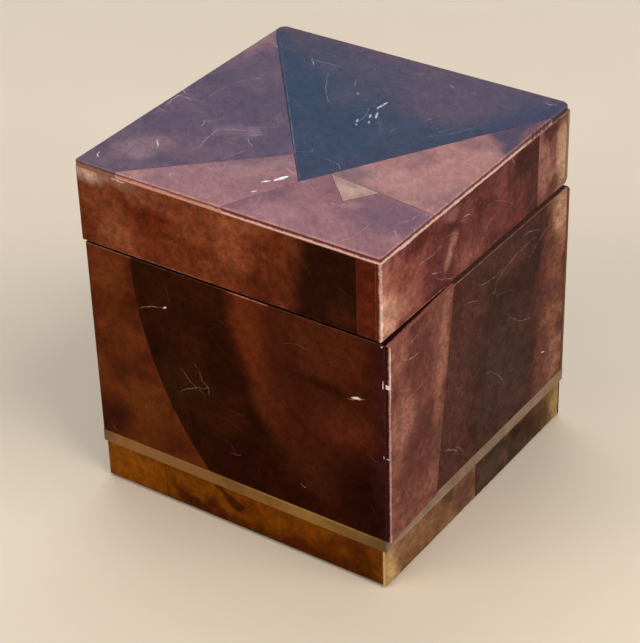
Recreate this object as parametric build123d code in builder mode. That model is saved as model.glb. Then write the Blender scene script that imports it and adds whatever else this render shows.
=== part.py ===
"""Square dice box with a hinged lid, faced with polished shell tiles over a wooden carcass.

Lengths are in millimetres.  +X is the box's right, -Y its front, +Z is up, and the origin is
the middle of the face that it rests on.  Each side of the box is drawn on its own face plane:
u runs from left to right as seen from outside, the second coordinate is the height.
"""

import os
from math import radians, tan

from build123d import *

# ---- overall sizes ---------------------------------------------------------------------
width = 101.6  # over the shell, along X
depth = 101.6  # over the shell, along Y
height = 110.0
parting_height = 83.6  # middle of the joint between box and lid
parting_gap = 0.6
base_band_top = 13.5  # upper edge of the shell band round the foot
strip_width = 3.9  # brass strip between foot band and tall tiles

# ---- carcass ---------------------------------------------------------------------------
wall = 6.0
floor_board = 5.0
floor_rabbet = 3.0  # how far the floor board is let into the walls
top_board = 5.0

# ---- felt ------------------------------------------------------------------------------
foot_felt = 0.8
foot_felt_inset = 1.2  # from the carcass edge
foot_felt_corner = 3.0
lining = 1.5
lining_play = 0.3  # between the lining pads and the walls
lining_corner = 1.0

# ---- shell tiles and brass strip ---------------------------------------------------------
shell = 1.5
top_shell = 2.0  # the lid's top carries thicker pieces
band_recess = 0.3  # the foot band lies this far behind the brass strip
seam = 0.12
arris = 0.25  # bevel of the tiles' outer edges
top_arris = 0.4  # bevel of the lid's upper edge
top_back_wear = 2.4  # radius to which the lid's back corners are worn, in plan
top_front_wear = 0.8
foot_far_wear = 1.0  # the same for the foot's front left and back right corners
foot_near_wear = 0.8  # and for its other two
lid_set = 1.0  # the lid sits this far to the left of the box
tile_lift = 1.5  # how far the loose tile stands proud at the front right corner
tile_creep = 0.3  # how far the loose tile has crept up at its seam

# Seams of the tall tiles: u at the brass strip and at the rim, and the swell of a curved one.
front_seam_foot = -10.6
front_seam_head = -34.4
front_seam_swell = 6.0
right_seam_foot = -25.0
right_seam_head = -15.2
back_seam_foot = 14.0
back_seam_head = 24.0
left_seam_foot = 18.0
left_seam_head = 7.0

# Seams of the lid's side tiles, from the end named.
lid_front_seam_from_right = 7.8
lid_right_seam_from_back = 18.3
lid_back_seam_from_left = 24.0
lid_left_seam_from_front = 30.0

# Seams of the foot band.
foot_front_seam = -27.7
foot_right_seam_near = -1.6
foot_right_seam_far = 38.4
foot_back_seam = 12.0

# Where the seams of the lid's top meet, and where they run out.
hub = (10.0, -28.7)  # foot of the dark tile
left_run_out = 3.9  # from the back left corner to where the hub's seam leaves the left edge
right_run_out = 10.9  # from the back right corner to where its other seam leaves the right edge
front_run_out = 0.0  # X where the seam from the hub leaves the front edge
branch_out = -36.5  # X where the branch seam leaves the front edge
branch_x = 0.0  # X where the branch seam starts from the left seam
rose_x = 15.0  # X where the rose tile starts on the right seam
rose_run_out = -24.7  # Y where the lower seam of the rose tile leaves the right edge
inlay_low = (26.3, -31.3)  # lower corner of the small pale inlay
inlay_x = 32.3  # X of its right corner, on the rose tile's seam

# ---- hinges ----------------------------------------------------------------------------
hinge_inset = 22.8  # middle of a hinge from the box's side
leaf_length = 20.0
leaf_depth = 5.2  # from the pin's axis inwards
leaf_thickness = 0.9
knuckle_radius = 1.5
knuckle_count = 5
knuckle_play = 0.15  # between neighbouring knuckles
pin_radius = 0.75
pin_play = 0.05  # radial, in every knuckle
pin_head_radius = 1.15
pin_head = 0.5
barrel_room = 0.25  # round the knuckles
mortise_play = 0.1
bevel_angle = 47.0  # of the V along the back edge that stops the lid

# ---- hinge screws ------------------------------------------------------------------------
screw_spread = 11.0  # between the two screws of a leaf
screw_inset = 3.4  # from the pin's axis
screw_head_radius = 1.35
screw_shank_radius = 0.65
screw_length = 7.0  # below the leaf
screw_play = 0.04
slot_width = 0.4
slot_depth = 0.3

# ---- worked out from the above -------------------------------------------------------------
overrun = 5.0  # cutters run this far past the stock
rim = parting_height - parting_gap / 2
lid_rim = parting_height + parting_gap / 2
strip_top = base_band_top + strip_width
board_top = height - top_shell
board_foot = board_top - top_board
floor_top = foot_felt + floor_board
band_shell = shell - band_recess
hinge_y = depth / 2 - shell
hinge_places = {"left": hinge_inset - width / 2, "right": width / 2 - hinge_inset}
knuckle_pitch = leaf_length / knuckle_count
outward = {"front": (0, -1), "right": (1, 0), "back": (0, 1), "left": (-1, 0)}


def shell_run(side: str) -> float:
    """Length of a side over the shell."""
    return width if side in ("front", "back") else depth


def carcass_run(side: str) -> float:
    """Length of a side over the wood."""
    return shell_run(side) - 2 * shell


def face_plane(side: str, set_left: float = 0.0) -> Plane:
    """Plane on the wood of a side: x along u, y up, z outwards."""
    out_x, out_y = outward[side]
    reach = (depth if side in ("front", "back") else width) / 2 - shell
    origin = (out_x * reach - set_left, out_y * reach, 0)
    return Plane(origin=origin, x_dir=(-out_y, out_x, 0), z_dir=(out_x, out_y, 0))


def along(start: tuple, end: tuple, x: float = None, y: float = None) -> tuple:
    """Point of the line through start and end that has the given x or y."""
    run_x, run_y = end[0] - start[0], end[1] - start[1]
    share = (x - start[0]) / run_x if x is not None else (y - start[1]) / run_y
    return (start[0] + share * run_x, start[1] + share * run_y)


def save(part: Part, name: str) -> None:
    """Label a finished piece and write its STEP file."""
    part.label = name
    export_step(part, f"parts/{name}.step")


os.makedirs("parts", exist_ok=True)

# ---- cutters for the hinges ------------------------------------------------------------------
with BuildPart() as barrel_cutter:
    for place in hinge_places.values():
        with Locations((place, hinge_y, parting_height)):
            Cylinder(
                radius=knuckle_radius + barrel_room,
                height=leaf_length + 2 * (pin_head + barrel_room),
                rotation=(0, 90, 0),
            )


def mortise_cutter(low: float) -> Part:
    """Beds for the two leaves that lie in one rim, from the height given upwards."""
    bed = leaf_depth + mortise_play
    with BuildPart() as beds:
        for place in hinge_places.values():
            with Locations((place, hinge_y - bed / 2, low)):
                Box(
                    leaf_length + 2 * mortise_play,
                    bed,
                    leaf_thickness,
                    align=(Align.CENTER, Align.CENTER, Align.MIN),
                )
    return beds.part


def bevel_cutter(edge: float, direction: int) -> Part:
    """Prism that bevels a rim behind the pin's axis, down (-1) or up (+1) from that edge."""
    reach = shell + overrun
    drop = direction * reach * tan(radians(bevel_angle))
    with BuildPart() as bevel:
        with BuildSketch(Plane.YZ.offset(-width)):
            with BuildLine():
                Polyline(
                    (hinge_y, edge),
                    (hinge_y + reach, edge + drop),
                    (hinge_y + reach, edge),
                    close=True,
                )
            make_face()
        extrude(amount=2 * width)
    return bevel.part


body_mortises = mortise_cutter(rim - leaf_thickness)
lid_mortises = mortise_cutter(lid_rim)


def pilot_holes(edge: float, direction: int) -> None:
    """Drill the wood under one rim for the hinge screws."""
    for place in hinge_places.values():
        with Locations((place, hinge_y - screw_inset, edge + direction * screw_length / 2)):
            with GridLocations(screw_spread, 1, 2, 1):
                Cylinder(screw_shank_radius, screw_length, mode=Mode.SUBTRACT)


# ---- carcass walls -------------------------------------------------------------------------
def mitred_wall(side: str, low: float, high: float, set_left: float = 0.0) -> Part:
    """One wall of a carcass, mitred at both ends."""
    half = carcass_run(side) / 2
    plane = face_plane(side, set_left)
    plan = Plane(origin=plane.origin + Vector(0, 0, low), x_dir=plane.x_dir, z_dir=(0, 0, 1))
    with BuildPart() as stock:
        with BuildSketch(plan):
            with BuildLine():
                Polyline((-half, 0), (half, 0), (half - wall, wall), (wall - half, wall), close=True)
            make_face()
        extrude(amount=high - low)
    return stock.part


cavity_width = width - 2 * shell - 2 * wall
cavity_depth = depth - 2 * shell - 2 * wall

for side in outward:
    with BuildPart() as body_wall:
        add(mitred_wall(side, foot_felt, rim))
        with Locations((0, 0, foot_felt)):
            Box(
                cavity_width + 2 * floor_rabbet,
                cavity_depth + 2 * floor_rabbet,
                floor_board,
                align=(Align.CENTER, Align.CENTER, Align.MIN),
                mode=Mode.SUBTRACT,
            )
        if side == "back":
            add(barrel_cutter.part, mode=Mode.SUBTRACT)
            add(body_mortises, mode=Mode.SUBTRACT)
            pilot_holes(rim - leaf_thickness, -1)
    save(body_wall.part, f"body_wall_{side}")

    with BuildPart() as lid_wall:
        add(mitred_wall(side, lid_rim, board_foot, lid_set))
        if side == "back":
            add(barrel_cutter.part, mode=Mode.SUBTRACT)
            add(lid_mortises, mode=Mode.SUBTRACT)
            pilot_holes(lid_rim + leaf_thickness, 1)
    save(lid_wall.part, f"lid_wall_{side}")

with BuildPart() as floor:
    with BuildSketch(Plane.XY.offset(foot_felt)):
        Rectangle(cavity_width + 2 * floor_rabbet, cavity_depth + 2 * floor_rabbet)
    extrude(amount=floor_board)
save(floor.part, "floor_board")

with BuildPart() as lid_board:
    with BuildSketch(Plane.XY.offset(board_foot)):
        with Locations((-lid_set, 0)):
            Rectangle(width - 2 * shell, depth - 2 * shell)
    extrude(amount=top_board)
save(lid_board.part, "lid_board")

# ---- felt pads -----------------------------------------------------------------------------
with BuildPart() as foot_pad:
    with BuildSketch():
        RectangleRounded(
            width - 2 * (shell + foot_felt_inset),
            depth - 2 * (shell + foot_felt_inset),
            foot_felt_corner,
        )
    extrude(amount=foot_felt)
save(foot_pad.part, "foot_felt")


def lining_pad(low: float, set_left: float = 0.0) -> Part:
    """Felt pad that lines a cavity's flat side."""
    with BuildPart() as pad:
        with BuildSketch(Plane.XY.offset(low)):
            with Locations((-set_left, 0)):
                RectangleRounded(
                    cavity_width - 2 * lining_play, cavity_depth - 2 * lining_play, lining_corner
                )
        extrude(amount=lining)
    return pad.part


save(lining_pad(floor_top), "floor_lining")
save(lining_pad(board_foot - lining, lid_set), "lid_lining")


# ---- shell on the sides ----------------------------------------------------------------------
def plate(
    side: str,
    low: float,
    high: float,
    thickness: float,
    set_left: float = 0.0,
    lengthen: float = 0.0,
) -> Part:
    """Uncut shell of one side: it covers the edge of the shell to its left."""
    left = -carcass_run(side) / 2 - thickness
    right = carcass_run(side) / 2 + lengthen
    plane = face_plane(side, set_left)
    with BuildPart() as sheet:
        with BuildSketch(plane):
            with Locations(((left + right) / 2, (low + high) / 2)):
                Rectangle(right - left, high - low)
        extrude(amount=thickness)
        outer = sheet.faces().sort_by(Axis(plane.origin, plane.z_dir))[-1]
        chamfer(outer.edges(), arris)
    return sheet.part


def cut_at(sheet: Part, side: str, low: float, high: float, seams: list, set_left: float = 0.0):
    """Saw a side's shell along its seams; each seam is (u at low, u at high, swell)."""
    plane = face_plane(side, set_left)
    with BuildPart() as tiles:
        add(sheet)
        for foot, head, swell in seams:
            foot_end, head_end = (foot, low), (head, high)
            with BuildSketch(plane):
                with BuildLine():
                    Line(along(foot_end, head_end, y=low - overrun), foot_end)
                    if swell:
                        SagittaArc(foot_end, head_end, swell)
                    else:
                        Line(foot_end, head_end)
                    Line(head_end, along(foot_end, head_end, y=high + overrun))
                trace(line_width=seam)
            extrude(amount=2 * shell, both=True, mode=Mode.SUBTRACT)
    return tiles.solids().sort_by(Axis(plane.origin, plane.x_dir))


def save_tiles(solids: list, prefix: str, names: tuple) -> None:
    """Write the tiles of one side, from left to right."""
    for solid, name in zip(solids, names):
        save(Part(solid.wrapped), f"{prefix}_{name}")


body_seams = {
    "front": (front_seam_foot, front_seam_head, front_seam_swell),
    "right": (right_seam_foot, right_seam_head, 0.0),
    "back": (back_seam_foot, back_seam_head, 0.0),
    "left": (left_seam_foot, left_seam_head, 0.0),
}
lid_seam_places = {
    "front": width / 2 - lid_front_seam_from_right,
    "right": depth / 2 - lid_right_seam_from_back,
    "back": width / 2 - lid_back_seam_from_left,
    "left": depth / 2 - lid_left_seam_from_front,
}
foot_seams = {
    "front": (foot_front_seam,),
    "right": (foot_right_seam_near, foot_right_seam_far),
    "back": (foot_back_seam,),
    "left": (),
}
tile_names = {
    "front": ("left", "right"),
    "right": ("front", "back"),
    "back": ("right", "left"),
    "left": ("back", "front"),
}
foot_names = {
    "front": ("left", "right"),
    "right": ("front", "middle", "back"),
    "back": ("right", "left"),
    "left": ("whole",),
}

# The foot band's outline, with its corners worn.
with BuildPart() as foot_block:
    Box(
        width - 2 * band_recess,
        depth - 2 * band_recess,
        base_band_top,
        align=(Align.CENTER, Align.CENTER, Align.MIN),
    )
    for wear, diagonal in ((foot_far_wear, (1, 1, 0)), (foot_near_wear, (1, -1, 0))):
        uprights = foot_block.edges().filter_by(Axis.Z).group_by(Axis((0, 0, 0), diagonal))
        fillet(uprights[0] + uprights[-1], wear)

behind_the_pins = ("back", "left")  # the left side's shell covers the edge of the back's

for side in outward:
    lengthen = tile_lift if side == "front" else 0.0
    with BuildPart() as body_sheet:
        add(plate(side, strip_top, rim, shell, lengthen=lengthen))
        if side == "back":
            add(barrel_cutter.part, mode=Mode.SUBTRACT)
        if side in behind_the_pins:
            add(bevel_cutter(rim, -1), mode=Mode.SUBTRACT)
    body_tiles = cut_at(body_sheet.part, side, strip_top, rim, [body_seams[side]])
    if side == "right":
        body_tiles = body_tiles[1:]
        save_tiles(body_tiles, "body_tile_right", ("back",))
    else:
        save_tiles(body_tiles, f"body_tile_{side}", tile_names[side])

    with BuildPart() as lid_sheet:
        add(plate(side, lid_rim, board_top, shell, lid_set))
        if side == "back":
            add(barrel_cutter.part, mode=Mode.SUBTRACT)
        if side in behind_the_pins:
            add(bevel_cutter(lid_rim, 1), mode=Mode.SUBTRACT)
    place = lid_seam_places[side]
    lid_tiles = cut_at(lid_sheet.part, side, lid_rim, board_top, [(place, place, 0.0)], lid_set)
    save_tiles(lid_tiles, f"lid_tile_{side}", tile_names[side])

    with BuildPart() as foot_sheet:
        add(plate(side, foot_felt, base_band_top, band_shell))
        add(foot_block.part, mode=Mode.INTERSECT)
    cuts = [(place, place, 0.0) for place in foot_seams[side]]
    foot_tiles = cut_at(foot_sheet.part, side, foot_felt, base_band_top, cuts)
    save_tiles(foot_tiles, f"foot_tile_{side}", foot_names[side])

# The loose tile on the right: wedged off the wood towards the front corner, over the end of
# the front tile, and crept up a little at its seam.
with BuildPart() as loose_tile:
    wood = width / 2 - shell
    front = -depth / 2
    with BuildSketch(Plane.XY.offset(strip_top)):
        with BuildLine():
            Polyline(
                (wood, right_seam_head),
                (wood + shell, right_seam_head),
                (wood + shell + tile_lift, front),
                (wood + tile_lift, front),
                (wood + tile_lift, front + shell),
                (wood, front + shell),
                close=True,
            )
        make_face()
    extrude(amount=rim + tile_creep - strip_top)
    outer = loose_tile.faces().sort_by(Axis.X)[-1]
    chamfer(outer.edges().group_by(Axis.Y)[0], arris)
    with BuildSketch(face_plane("right")):
        with BuildLine():
            Polyline(
                (front, strip_top),
                (right_seam_foot - seam / 2, strip_top),
                (right_seam_head - seam / 2, rim + tile_creep),
                (front, rim),
                close=True,
            )
        make_face()
    extrude(amount=shell + 2 * tile_lift, both=True, mode=Mode.INTERSECT)
save(loose_tile.part, "body_tile_right_front")

# ---- brass strips ----------------------------------------------------------------------------
for side in outward:
    half = carcass_run(side) / 2
    with BuildPart() as strip:
        plane = face_plane(side)
        plan = Plane(origin=plane.origin + Vector(0, 0, base_band_top), x_dir=plane.x_dir, z_dir=(0, 0, 1))
        with BuildSketch(plan):
            with BuildLine():
                Polyline(
                    (-half, 0), (-half - shell, -shell), (half + shell, -shell), (half, 0), close=True
                )
            make_face()
        extrude(amount=strip_width)
    save(strip.part, f"brass_strip_{side}")

# ---- shell on the lid's top --------------------------------------------------------------------
with BuildPart() as top_slab:
    with BuildSketch(Plane.XY.offset(board_top)):
        Rectangle(width, depth)
    extrude(amount=top_shell)
    fillet(top_slab.edges().filter_by(Axis.Z).group_by(Axis.Y)[-1], top_back_wear)
    fillet(top_slab.edges().filter_by(Axis.Z).group_by(Axis.Y)[0], top_front_wear)
    chamfer(top_slab.faces().sort_by(Axis.Z)[-1].edges(), top_arris)

far_x = width / 2 + overrun
far_y = depth / 2 + overrun
far_back = 2 * depth  # past the far ends of both long seams
left_edge = (-width / 2, depth / 2 - left_run_out)
right_edge = (width / 2, depth / 2 - right_run_out)
left_far = along(hub, left_edge, x=-far_x)
right_far = along(hub, right_edge, x=far_x)
front_far = along(hub, (front_run_out, -depth / 2), y=-far_y)
branch = along(hub, left_edge, x=branch_x)
branch_far = along(branch, (branch_out, -depth / 2), y=-far_y)
rose = along(hub, right_edge, x=rose_x)
rose_edge = (width / 2, rose_run_out)
rose_far = along(rose, rose_edge, x=far_x)
inlay_right = along(rose, rose_edge, x=inlay_x)

top_tiles = {
    "left": (left_far, branch, branch_far, (-far_x, -far_y)),
    "back": (left_far, (-far_x, far_back), (far_x, far_back), right_far, hub),
    "front_left": (branch_far, branch, hub, front_far),
    "right": (rose, right_far, rose_far),
    "inlay": (rose, inlay_low, inlay_right),
    "front": (hub, rose, inlay_low, inlay_right, rose_far, (far_x, -far_y), front_far),
}
with BuildPart() as saw_cuts:
    with BuildSketch(Plane.XY.offset(board_top)):
        with BuildLine():
            Polyline(left_far, hub, right_far)
            Line(hub, front_far)
            Line(branch, branch_far)
            Polyline(rose, rose_far)
            Polyline(rose, inlay_low, inlay_right)
        trace(line_width=seam)
    extrude(amount=top_shell)

for name, corners in top_tiles.items():
    with BuildPart() as top_tile:
        with BuildSketch(Plane.XY.offset(board_top)):
            with BuildLine():
                Polyline(*corners, close=True)
            make_face()
        extrude(amount=top_shell)
        add(top_slab.part, mode=Mode.INTERSECT)
        add(saw_cuts.part, mode=Mode.SUBTRACT)
    save(top_tile.part.moved(Location((-lid_set, 0, 0))), f"top_tile_{name}")


# ---- hinges ------------------------------------------------------------------------------------
def hinge_leaf(place: float, low: float, own: range, head_up: bool) -> Part:
    """One leaf: a plate in its mortise, knuckles round the pin and two countersunk holes."""
    axis = (hinge_y, parting_height)
    knuckles = range(knuckle_count)
    with BuildPart() as leaf:
        with Locations((place, hinge_y - leaf_depth / 2, low)):
            Box(leaf_length, leaf_depth, leaf_thickness, align=(Align.CENTER, Align.CENTER, Align.MIN))
        for index in knuckles:
            middle = place - leaf_length / 2 + (index + 0.5) * knuckle_pitch
            with Locations((middle, *axis)):
                if index in own:
                    Cylinder(knuckle_radius, knuckle_pitch - knuckle_play, rotation=(0, 90, 0))
                else:
                    Cylinder(
                        knuckle_radius + barrel_room,
                        knuckle_pitch + knuckle_play,
                        rotation=(0, 90, 0),
                        mode=Mode.SUBTRACT,
                    )
        with Locations((place, *axis)):
            Cylinder(pin_radius + pin_play, leaf_length, rotation=(0, 90, 0), mode=Mode.SUBTRACT)
        face = low + leaf_thickness if head_up else low
        mouth = Plane(origin=(place, hinge_y - screw_inset, face), z_dir=(0, 0, 1 if head_up else -1))
        with Locations(mouth):
            with GridLocations(screw_spread, 1, 2, 1):
                CounterSinkHole(
                    radius=screw_shank_radius + screw_play,
                    counter_sink_radius=screw_head_radius + screw_play,
                    depth=2 * leaf_thickness,
                    counter_sink_angle=90,
                )
    return leaf.part


def hinge_pin(place: float) -> Part:
    """Pin with a bevelled head at each end."""
    with BuildPart() as pin:
        with Locations((place, hinge_y, parting_height)):
            Cylinder(pin_radius, leaf_length, rotation=(0, 90, 0))
        for end in (-1, 1):
            with Locations((place + end * (leaf_length + pin_head) / 2, hinge_y, parting_height)):
                Cylinder(pin_head_radius, pin_head, rotation=(0, 90, 0))
        for outer in (pin.faces().sort_by(Axis.X)[0], pin.faces().sort_by(Axis.X)[-1]):
            chamfer(outer.edges(), pin_head / 2)
    return pin.part


def hinge_screws(edge: float, direction: int) -> Part:
    """Four countersunk screws whose heads lie flush with a rim; direction points into the wood."""
    cone = screw_head_radius - screw_shank_radius
    with BuildPart() as screws:
        for place in hinge_places.values():
            mouth = Plane(origin=(place, hinge_y - screw_inset, edge), z_dir=(0, 0, -direction))
            with Locations(mouth):
                with GridLocations(screw_spread, 1, 2, 1):
                    Cone(
                        screw_shank_radius,
                        screw_head_radius,
                        cone,
                        align=(Align.CENTER, Align.CENTER, Align.MAX),
                    )
                    Cylinder(
                        screw_shank_radius,
                        leaf_thickness + screw_length,
                        align=(Align.CENTER, Align.CENTER, Align.MAX),
                    )
                    Box(
                        2 * screw_head_radius,
                        slot_width,
                        slot_depth,
                        align=(Align.CENTER, Align.CENTER, Align.MAX),
                        mode=Mode.SUBTRACT,
                    )
    return screws.part


for name, place in hinge_places.items():
    body_leaf = hinge_leaf(place, rim - leaf_thickness, range(0, knuckle_count, 2), head_up=True)
    lid_leaf = hinge_leaf(place, lid_rim, range(1, knuckle_count, 2), head_up=False)
    save(body_leaf, f"hinge_{name}_body_leaf")
    save(lid_leaf, f"hinge_{name}_lid_leaf")
    save(hinge_pin(place), f"hinge_{name}_pin")

save(hinge_screws(rim, -1), "body_hinge_screws")
save(hinge_screws(lid_rim, 1), "lid_hinge_screws")
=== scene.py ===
"""Studio scene of a dice box with a hinged lid, faced with polished shell tiles.

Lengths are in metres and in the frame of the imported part.  Marks on the shell are laid out in
millimetres on the face that carries them: `along` runs from left to right as seen from outside,
`up` is the height, or the depth on the lid's top.  Colours are written as a screen shows them,
0 to 255 a channel, and made linear where a node takes them.
"""

import logging
import math
from dataclasses import dataclass, field, replace
from enum import Enum
from typing import ClassVar

import bpy
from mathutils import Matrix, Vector


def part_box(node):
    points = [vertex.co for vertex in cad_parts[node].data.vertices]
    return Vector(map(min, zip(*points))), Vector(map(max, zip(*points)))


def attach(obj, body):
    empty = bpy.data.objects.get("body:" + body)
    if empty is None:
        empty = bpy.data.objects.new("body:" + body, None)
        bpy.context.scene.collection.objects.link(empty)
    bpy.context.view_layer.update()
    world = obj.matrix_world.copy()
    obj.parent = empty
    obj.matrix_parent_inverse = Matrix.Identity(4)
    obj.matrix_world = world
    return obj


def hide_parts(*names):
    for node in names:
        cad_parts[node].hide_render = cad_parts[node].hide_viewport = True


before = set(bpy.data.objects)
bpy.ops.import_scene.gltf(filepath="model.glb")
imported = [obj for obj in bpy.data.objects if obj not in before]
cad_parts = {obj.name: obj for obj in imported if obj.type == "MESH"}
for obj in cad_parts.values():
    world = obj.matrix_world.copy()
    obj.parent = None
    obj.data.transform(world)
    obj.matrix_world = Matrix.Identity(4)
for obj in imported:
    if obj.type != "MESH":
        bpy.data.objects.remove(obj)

logging.basicConfig(level=logging.INFO, format="%(message)s")
log = logging.getLogger("dice_box")

Shade = tuple[int, int, int]
Triple = tuple[float, float, float]
Spot = tuple[float, float]
Socket = bpy.types.NodeSocket
Outputs = bpy.types.bpy_prop_collection

MM = 0.001
VECTOR, COLOUR, NUMBER = "NodeSocketVector", "NodeSocketColor", "NodeSocketFloat"
GROUP_SOCKETS = {"VECTOR": VECTOR, "RGBA": COLOUR, "VALUE": NUMBER}
SCALAR_OPERATIONS = ("DOT_PRODUCT", "LENGTH")
NODES_IN_A_ROW = 12
NODE_SPACING = (220, 260)
FINE_RELIEF = 0.03 * MM
NOISE_RANGE = (0.3, 0.7)


def linear(shade: Shade) -> tuple[float, float, float, float]:
    """Turn a shade as a screen shows it into the opaque linear colour that nodes take.

    Args:
        shade: Red, green and blue, 0 to 255 each.

    Returns:
        The linear red, green and blue, and a full alpha.
    """
    channels = []
    for channel in shade:
        level = channel / 255
        channels.append(level / 12.92 if level <= 0.04045 else ((level + 0.055) / 1.055) ** 2.4)
    return (*channels, 1.0)


class Face(Enum):
    """Faces of the box, each with its `along` and `up` directions."""

    FRONT = ((1.0, 0.0, 0.0), (0.0, 0.0, 1.0))
    RIGHT = ((0.0, 1.0, 0.0), (0.0, 0.0, 1.0))
    BACK = ((-1.0, 0.0, 0.0), (0.0, 0.0, 1.0))
    LEFT = ((0.0, -1.0, 0.0), (0.0, 0.0, 1.0))
    TOP = ((1.0, 0.0, 0.0), (0.0, 1.0, 0.0))

    @property
    def along(self) -> Triple:
        """Direction from left to right."""
        return self.value[0]

    @property
    def up(self) -> Triple:
        """Direction that counts as upwards."""
        return self.value[1]

    @property
    def out(self) -> Triple:
        """Direction that points away from the box."""
        return tuple(Vector(self.along).cross(Vector(self.up)))


# ---- node boards -----------------------------------------------------------------------------


class NodeBoard:
    """Places and links the nodes of one tree.

    Args:
        tree: The tree of a material, a world or a shader group.
    """

    def __init__(self, tree: bpy.types.NodeTree) -> None:
        """Keep the tree."""
        self.tree = tree
        self.count = 0

    def place(self, kind: str, inputs: dict | None = None, **settings: object) -> bpy.types.Node:
        """Add a node.

        Args:
            kind: The node's type, as bpy names it.
            inputs: Value or socket for each named or numbered input.
            settings: Attributes of the node itself.

        Returns:
            The node.
        """
        node = self.tree.nodes.new(kind)
        row, column = divmod(self.count, NODES_IN_A_ROW)
        node.location = (NODE_SPACING[0] * column, -NODE_SPACING[1] * row)
        self.count += 1
        for name, value in settings.items():
            setattr(node, name, value)
        for name, value in (inputs or {}).items():
            self.feed(node.inputs[name], value)
        return node

    def feed(self, socket: Socket, value: object) -> None:
        """Link an output to a socket, or set the socket's own value.

        Args:
            socket: The input to feed.
            value: An output, a number, a vector, or a shade for a colour socket.
        """
        if isinstance(value, Socket):
            self.tree.links.new(value, socket)
        else:
            socket.default_value = linear(value) if socket.type == "RGBA" else value

    def maths(self, operation: str, *values: object, clamp: bool = False) -> Socket:
        """Add a Math node.

        Args:
            operation: What it does, as bpy names it.
            values: Numbers or sockets that it takes.
            clamp: Whether the result is held between 0 and 1.

        Returns:
            The result's socket.
        """
        inputs = dict(enumerate(values))
        return self.place("ShaderNodeMath", inputs, operation=operation, use_clamp=clamp).outputs[0]

    def plus(self, first: object, second: object) -> Socket:
        """Add two numbers."""
        return self.maths("ADD", first, second)

    def minus(self, first: object, second: object) -> Socket:
        """Take the second number from the first."""
        return self.maths("SUBTRACT", first, second)

    def times(self, first: object, second: object) -> Socket:
        """Multiply two numbers."""
        return self.maths("MULTIPLY", first, second)

    def larger(self, first: object, second: object) -> Socket:
        """Take the larger of two numbers."""
        return self.maths("MAXIMUM", first, second)

    def vectors(self, operation: str, *values: object) -> Socket:
        """Add a Vector Math node.

        Args:
            operation: What it does, as bpy names it.
            values: Vectors or sockets that it takes.

        Returns:
            The socket of the result, which is a number for a dot product or a length.
        """
        inputs = dict(enumerate(values))
        node = self.place("ShaderNodeVectorMath", inputs, operation=operation)
        return node.outputs["Value" if operation in SCALAR_OPERATIONS else "Vector"]

    def turned(self, vector: Socket, kind: str, **turn: object) -> Socket:
        """Turn a vector about the origin.

        Args:
            vector: Socket of the vector.
            kind: Way of turning, as bpy names it.
            turn: The angle or the rotation.

        Returns:
            The turned vector's socket.
        """
        inputs = {"Vector": vector} | turn
        return self.place("ShaderNodeVectorRotate", inputs, rotation_type=kind).outputs[0]

    def millimetres(self) -> Socket:
        """Give the object's own coordinates in millimetres."""
        inputs = {0: self.place("ShaderNodeTexCoord").outputs["Object"], "Scale": 1 / MM}
        return self.place("ShaderNodeVectorMath", inputs, operation="SCALE").outputs["Vector"]

    def blend(self, share: object, first: object, second: object, mode: str = "MIX") -> Socket:
        """Mix two colours.

        Args:
            share: How much of the second colour shows.
            first: Shade or socket under it.
            second: Shade or socket laid over.
            mode: Blending mode of the Mix node.

        Returns:
            The mixed colour's socket.
        """
        inputs = {0: share, 6: first, 7: second}
        settings = {"data_type": "RGBA", "blend_type": mode, "clamp_factor": True}
        return self.place("ShaderNodeMix", inputs, **settings).outputs[2]

    def dimmed(self, colour: object, level: Socket) -> Socket:
        """Multiply a colour by a level.

        Args:
            colour: Shade or socket of the colour.
            level: Socket of the level, where 1 leaves the colour as it is.

        Returns:
            The new colour's socket.
        """
        grey = self.place("ShaderNodeCombineColor", {0: level, 1: level, 2: level}).outputs[0]
        return self.blend(1.0, colour, grey, "MULTIPLY")

    def remap(
        self, value: Socket, low: object, high: object, to_low: float = 0.0, to_high: float = 1.0
    ) -> Socket:
        """Map a value smoothly from one range to another.

        Args:
            value: Socket of the value.
            low: Where the first range starts.
            high: Where it ends.
            to_low: What its start becomes.
            to_high: What its end becomes.

        Returns:
            The mapped value's socket.
        """
        inputs = {0: value, 1: low, 2: high, 3: to_low, 4: to_high}
        node = self.place("ShaderNodeMapRange", inputs, interpolation_type="SMOOTHSTEP")
        return node.outputs[0]

    def noise(
        self,
        vector: Socket,
        scale: object,
        detail: float = 3.0,
        roughness: float = 0.55,
        distortion: float = 0.0,
        output: str = "Fac",
    ) -> Socket:
        """Add a Noise Texture.

        Args:
            vector: Coordinates that it is laid out on.
            scale: Number of its swells in a unit of them.
            detail: Number of finer octaves.
            roughness: How strong those are.
            distortion: How far it is stirred.
            output: Name of the output to take.

        Returns:
            The output's socket.
        """
        inputs = {"Vector": vector, "Scale": scale, "Detail": detail, "Roughness": roughness}
        inputs["Distortion"] = distortion
        return self.place("ShaderNodeTexNoise", inputs).outputs[output]

    def relief(self, height: Socket, strength: float, depth: float = FINE_RELIEF) -> Socket:
        """Turn a height into a normal.

        Args:
            height: Socket of the height.
            strength: How much of the relief shows.
            depth: Metres that a height of 1 stands for.

        Returns:
            The normal's socket.
        """
        inputs = {"Strength": strength, "Distance": depth, "Height": height}
        return self.place("ShaderNodeBump", inputs).outputs[0]

    def seen(self) -> Socket:
        """Tell rays that end in an eye, a mirror or a glass from those that only light.

        Returns:
            A socket that is 1 for the former and 0 for the others.
        """
        path = self.place("ShaderNodeLightPath").outputs
        straight = self.larger(path["Is Camera Ray"], path["Is Glossy Ray"])
        return self.larger(straight, path["Is Transmission Ray"])


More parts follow.
